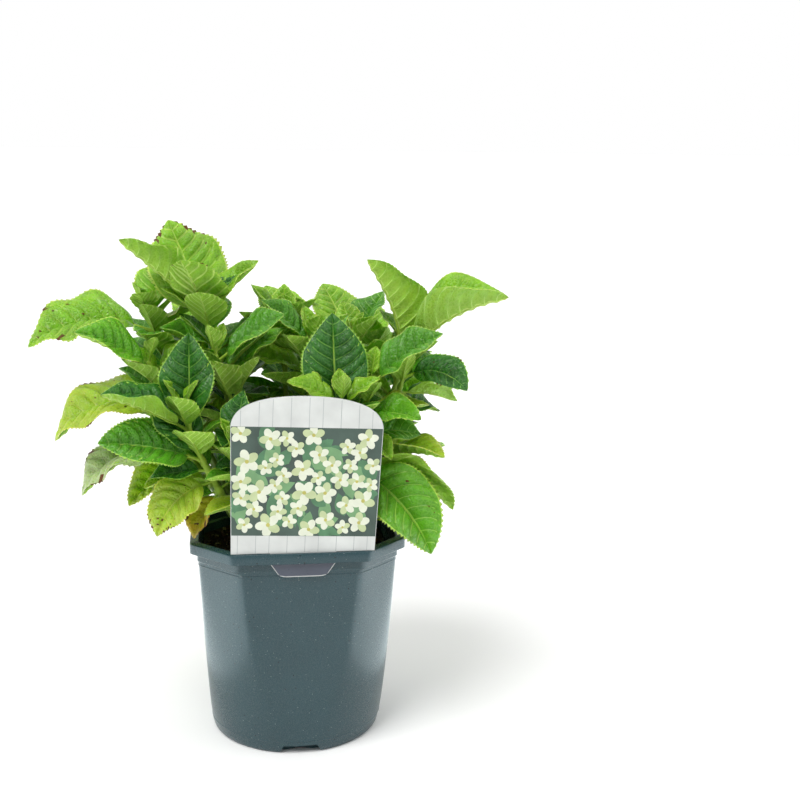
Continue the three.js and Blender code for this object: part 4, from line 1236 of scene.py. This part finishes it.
band(BOARD_LOW, FIELD_LOW, BOARD)
band(FIELD_LOW, FIELD_TOP, FIELD)
arch = (0, FIELD_TOP) + (arch_points(24) - (0, FIELD_TOP)) * ARCH_SHARE
lay(arch, BOARD, PROUD.board)
for i in range(GROOVES.count):
    x = (i - (GROOVES.count - 1) / 2) * GROOVES.apart
    x += GROOVES.uneven * math.sin(i * GROOVES.uneven_turn)
    top = float(np.interp(abs(x), *arch[len(arch) // 2::-1].T))
    half = GROOVES.wide / 2
    for low, high in ((BOARD_LOW, FIELD_LOW), (FIELD_TOP, top - 1)):
        lay([(x - half, low), (x + half, low), (x + half, high), (x - half, high)], GROOVE, PROUD.groove)

random = seeded(PRINT_SEED)
wide = CARD.bottom_half
for i in range(MOTIFS.leaves):
    x, z = mix(-wide, wide, random()), mix(FIELD_LOW + 4, FIELD_TOP - 4, random())
    plain_leaf(x, z, mix(*MOTIFS.leaf_long, random()), mix(*MOTIFS.leaf_wide, random()),
               random() * 2 * math.pi, LEAF_DARK if random() < MOTIFS.dark else LEAF_LIGHT,
               PROUD.leaf + PROUD.next_leaf * i)
blossoms = []
for _ in range(MOTIFS.tries):
    x, z = mix(4 - wide, wide - 4, random()), mix(FIELD_LOW + 5, FIELD_TOP - 5, random())
    size = mix(*MOTIFS.blossom, random())
    clear = all(math.hypot(x - a, z - b) > (size + c) * MOTIFS.apart for a, b, c in blossoms)
    if clear and len(blossoms) < MOTIFS.blossoms:
        blossoms.append((x, z, size))
        blossom(x, z, size, random() * 2 * math.pi, PROUD.blossom + PROUD.next_blossom * len(blossoms))

# The tab's print has a thin pale rim of card round it
half, low, top = CARD.tab_low_half, CARD.tab_low, POT.height - POT.lip_drop
right = [(half - 4, low + 0.7), (half + 1.4, low + 1.6), (CARD.tab_top_half - 0.9, top)]
lay(right + [(-x, z) for x, z in reversed(right)], TAB, PROUD.board, askew=False)
stands_for(printed.build("card_print", PRINT, smooth=30), "card")

# Floor, light and camera
CAMERA = Size(at=(-58.2, -1111.1, 544.5), lens=56.2, sensor=36, clip=(0.05, 50), pitch=11.96, yaw=7.93,
              roll=0.79)
PANEL = Size(near=0.16, y=-0.05, low=0.005, wide=0.75, long=0.8, rise=22, power=3.0,
             tint=(0.85, 1.0, 1.04))
FLOOR_HALF = 40
# The world's strength from straight in front to a little behind the part
WORLD = {"From Min": -0.9, "From Max": 0.1, "To Min": 0.32, "To Max": 0.86}


def sun(name, azimuth, height, strength, spread):
    """A soft sun. Azimuth 0 shines from the front and 90 from the right."""
    data = bpy.data.lights.new(name, "SUN")
    data.energy, data.angle = strength, math.radians(spread)
    made = placed(name, data)
    a, h = math.radians(azimuth), math.radians(height)
    to_light = Vector((math.sin(a) * math.cos(h), -math.cos(a) * math.cos(h), math.sin(h)))
    made.rotation_mode = "QUATERNION"
    made.rotation_quaternion = to_light.to_track_quat("Z", "Y")


def panel(name, side):
    """A white panel that rises from the floor beside the pot, and that only gloss shows."""
    data = bpy.data.lights.new(name, "AREA")
    data.shape, data.size, data.size_y = "RECTANGLE", PANEL.wide, PANEL.long
    data.energy, data.color = PANEL.power, PANEL.tint
    made = placed(name, data)
    rise = math.radians(PANEL.rise)
    reach = PANEL.wide / 2
    made.location = (side * (PANEL.near + reach * math.cos(rise)), PANEL.y,
                     PANEL.low + reach * math.sin(rise))
    made.rotation_euler = (math.pi, -side * rise, 0)
    made.visible_camera = made.visible_diffuse = False


def studio():
    """A white world, dimmer in front of the part, which the camera sees at full strength."""
    world = bpy.data.worlds.new("studio")
    world.use_nodes = True
    tree = world.node_tree
    parts = node(tree, "SeparateXYZ", {"Vector": node(tree, "TexCoord", {}).outputs["Generated"]})
    depth = node(tree, "MapRange", {"Value": parts.outputs["Y"], **WORLD})
    seen = node(tree, "Math", {0: node(tree, "LightPath", {}).outputs["Is Camera Ray"],
                               1: depth.outputs["Result"]}, operation="MAXIMUM")
    feed(tree, tree.nodes["Background"], {"Color": (1, 1, 1, 1), "Strength": seen.outputs["Value"]})
    return world


def camera():
    lens = bpy.data.cameras.new("camera")
    lens.lens, lens.sensor_width, lens.sensor_fit = CAMERA.lens, CAMERA.sensor, "HORIZONTAL"
    lens.clip_start, lens.clip_end = CAMERA.clip
    pitch, yaw, roll = (math.radians(turn) for turn in (CAMERA.pitch, CAMERA.yaw, CAMERA.roll))
    forward = Vector((math.sin(yaw) * math.cos(pitch), math.cos(yaw) * math.cos(pitch), -math.sin(pitch)))
    level = Vector((math.cos(yaw), -math.sin(yaw), 0))
    above = level.cross(forward)
    right_way = level * math.cos(roll) + above * math.sin(roll)
    up_way = above * math.cos(roll) - level * math.sin(roll)
    made = placed("camera", lens)
    made.matrix_world = Matrix((right_way, up_way, -forward)).transposed().to_4x4()
    made.matrix_world.translation = Vector(CAMERA.at) * MM
    return made


floor_mesh = bpy.data.meshes.new("floor")
corners = ((-1, -1), (1, -1), (1, 1), (-1, 1))
floor_mesh.from_pydata([(x * FLOOR_HALF, y * FLOOR_HALF, 0) for x, y in corners], [], [(0, 1, 2, 3)])
floor = placed("floor", floor_mesh)
floor_mesh.materials.append(surface("floor_pale", "FBFBFA", 0.9, mottle=0.005, scale=3, bump=0.02, fine=50,
                                    specular=0.0))
sun("key", -42, 55, 2.0, 32)
sun("fill", 60, 40, 0.5, 60)
panel("panel_left", -1)
panel("panel_right", 1)
bpy.context.scene.world = studio()
bpy.context.scene.view_settings.view_transform = "Standard"
bpy.context.scene.camera = camera()
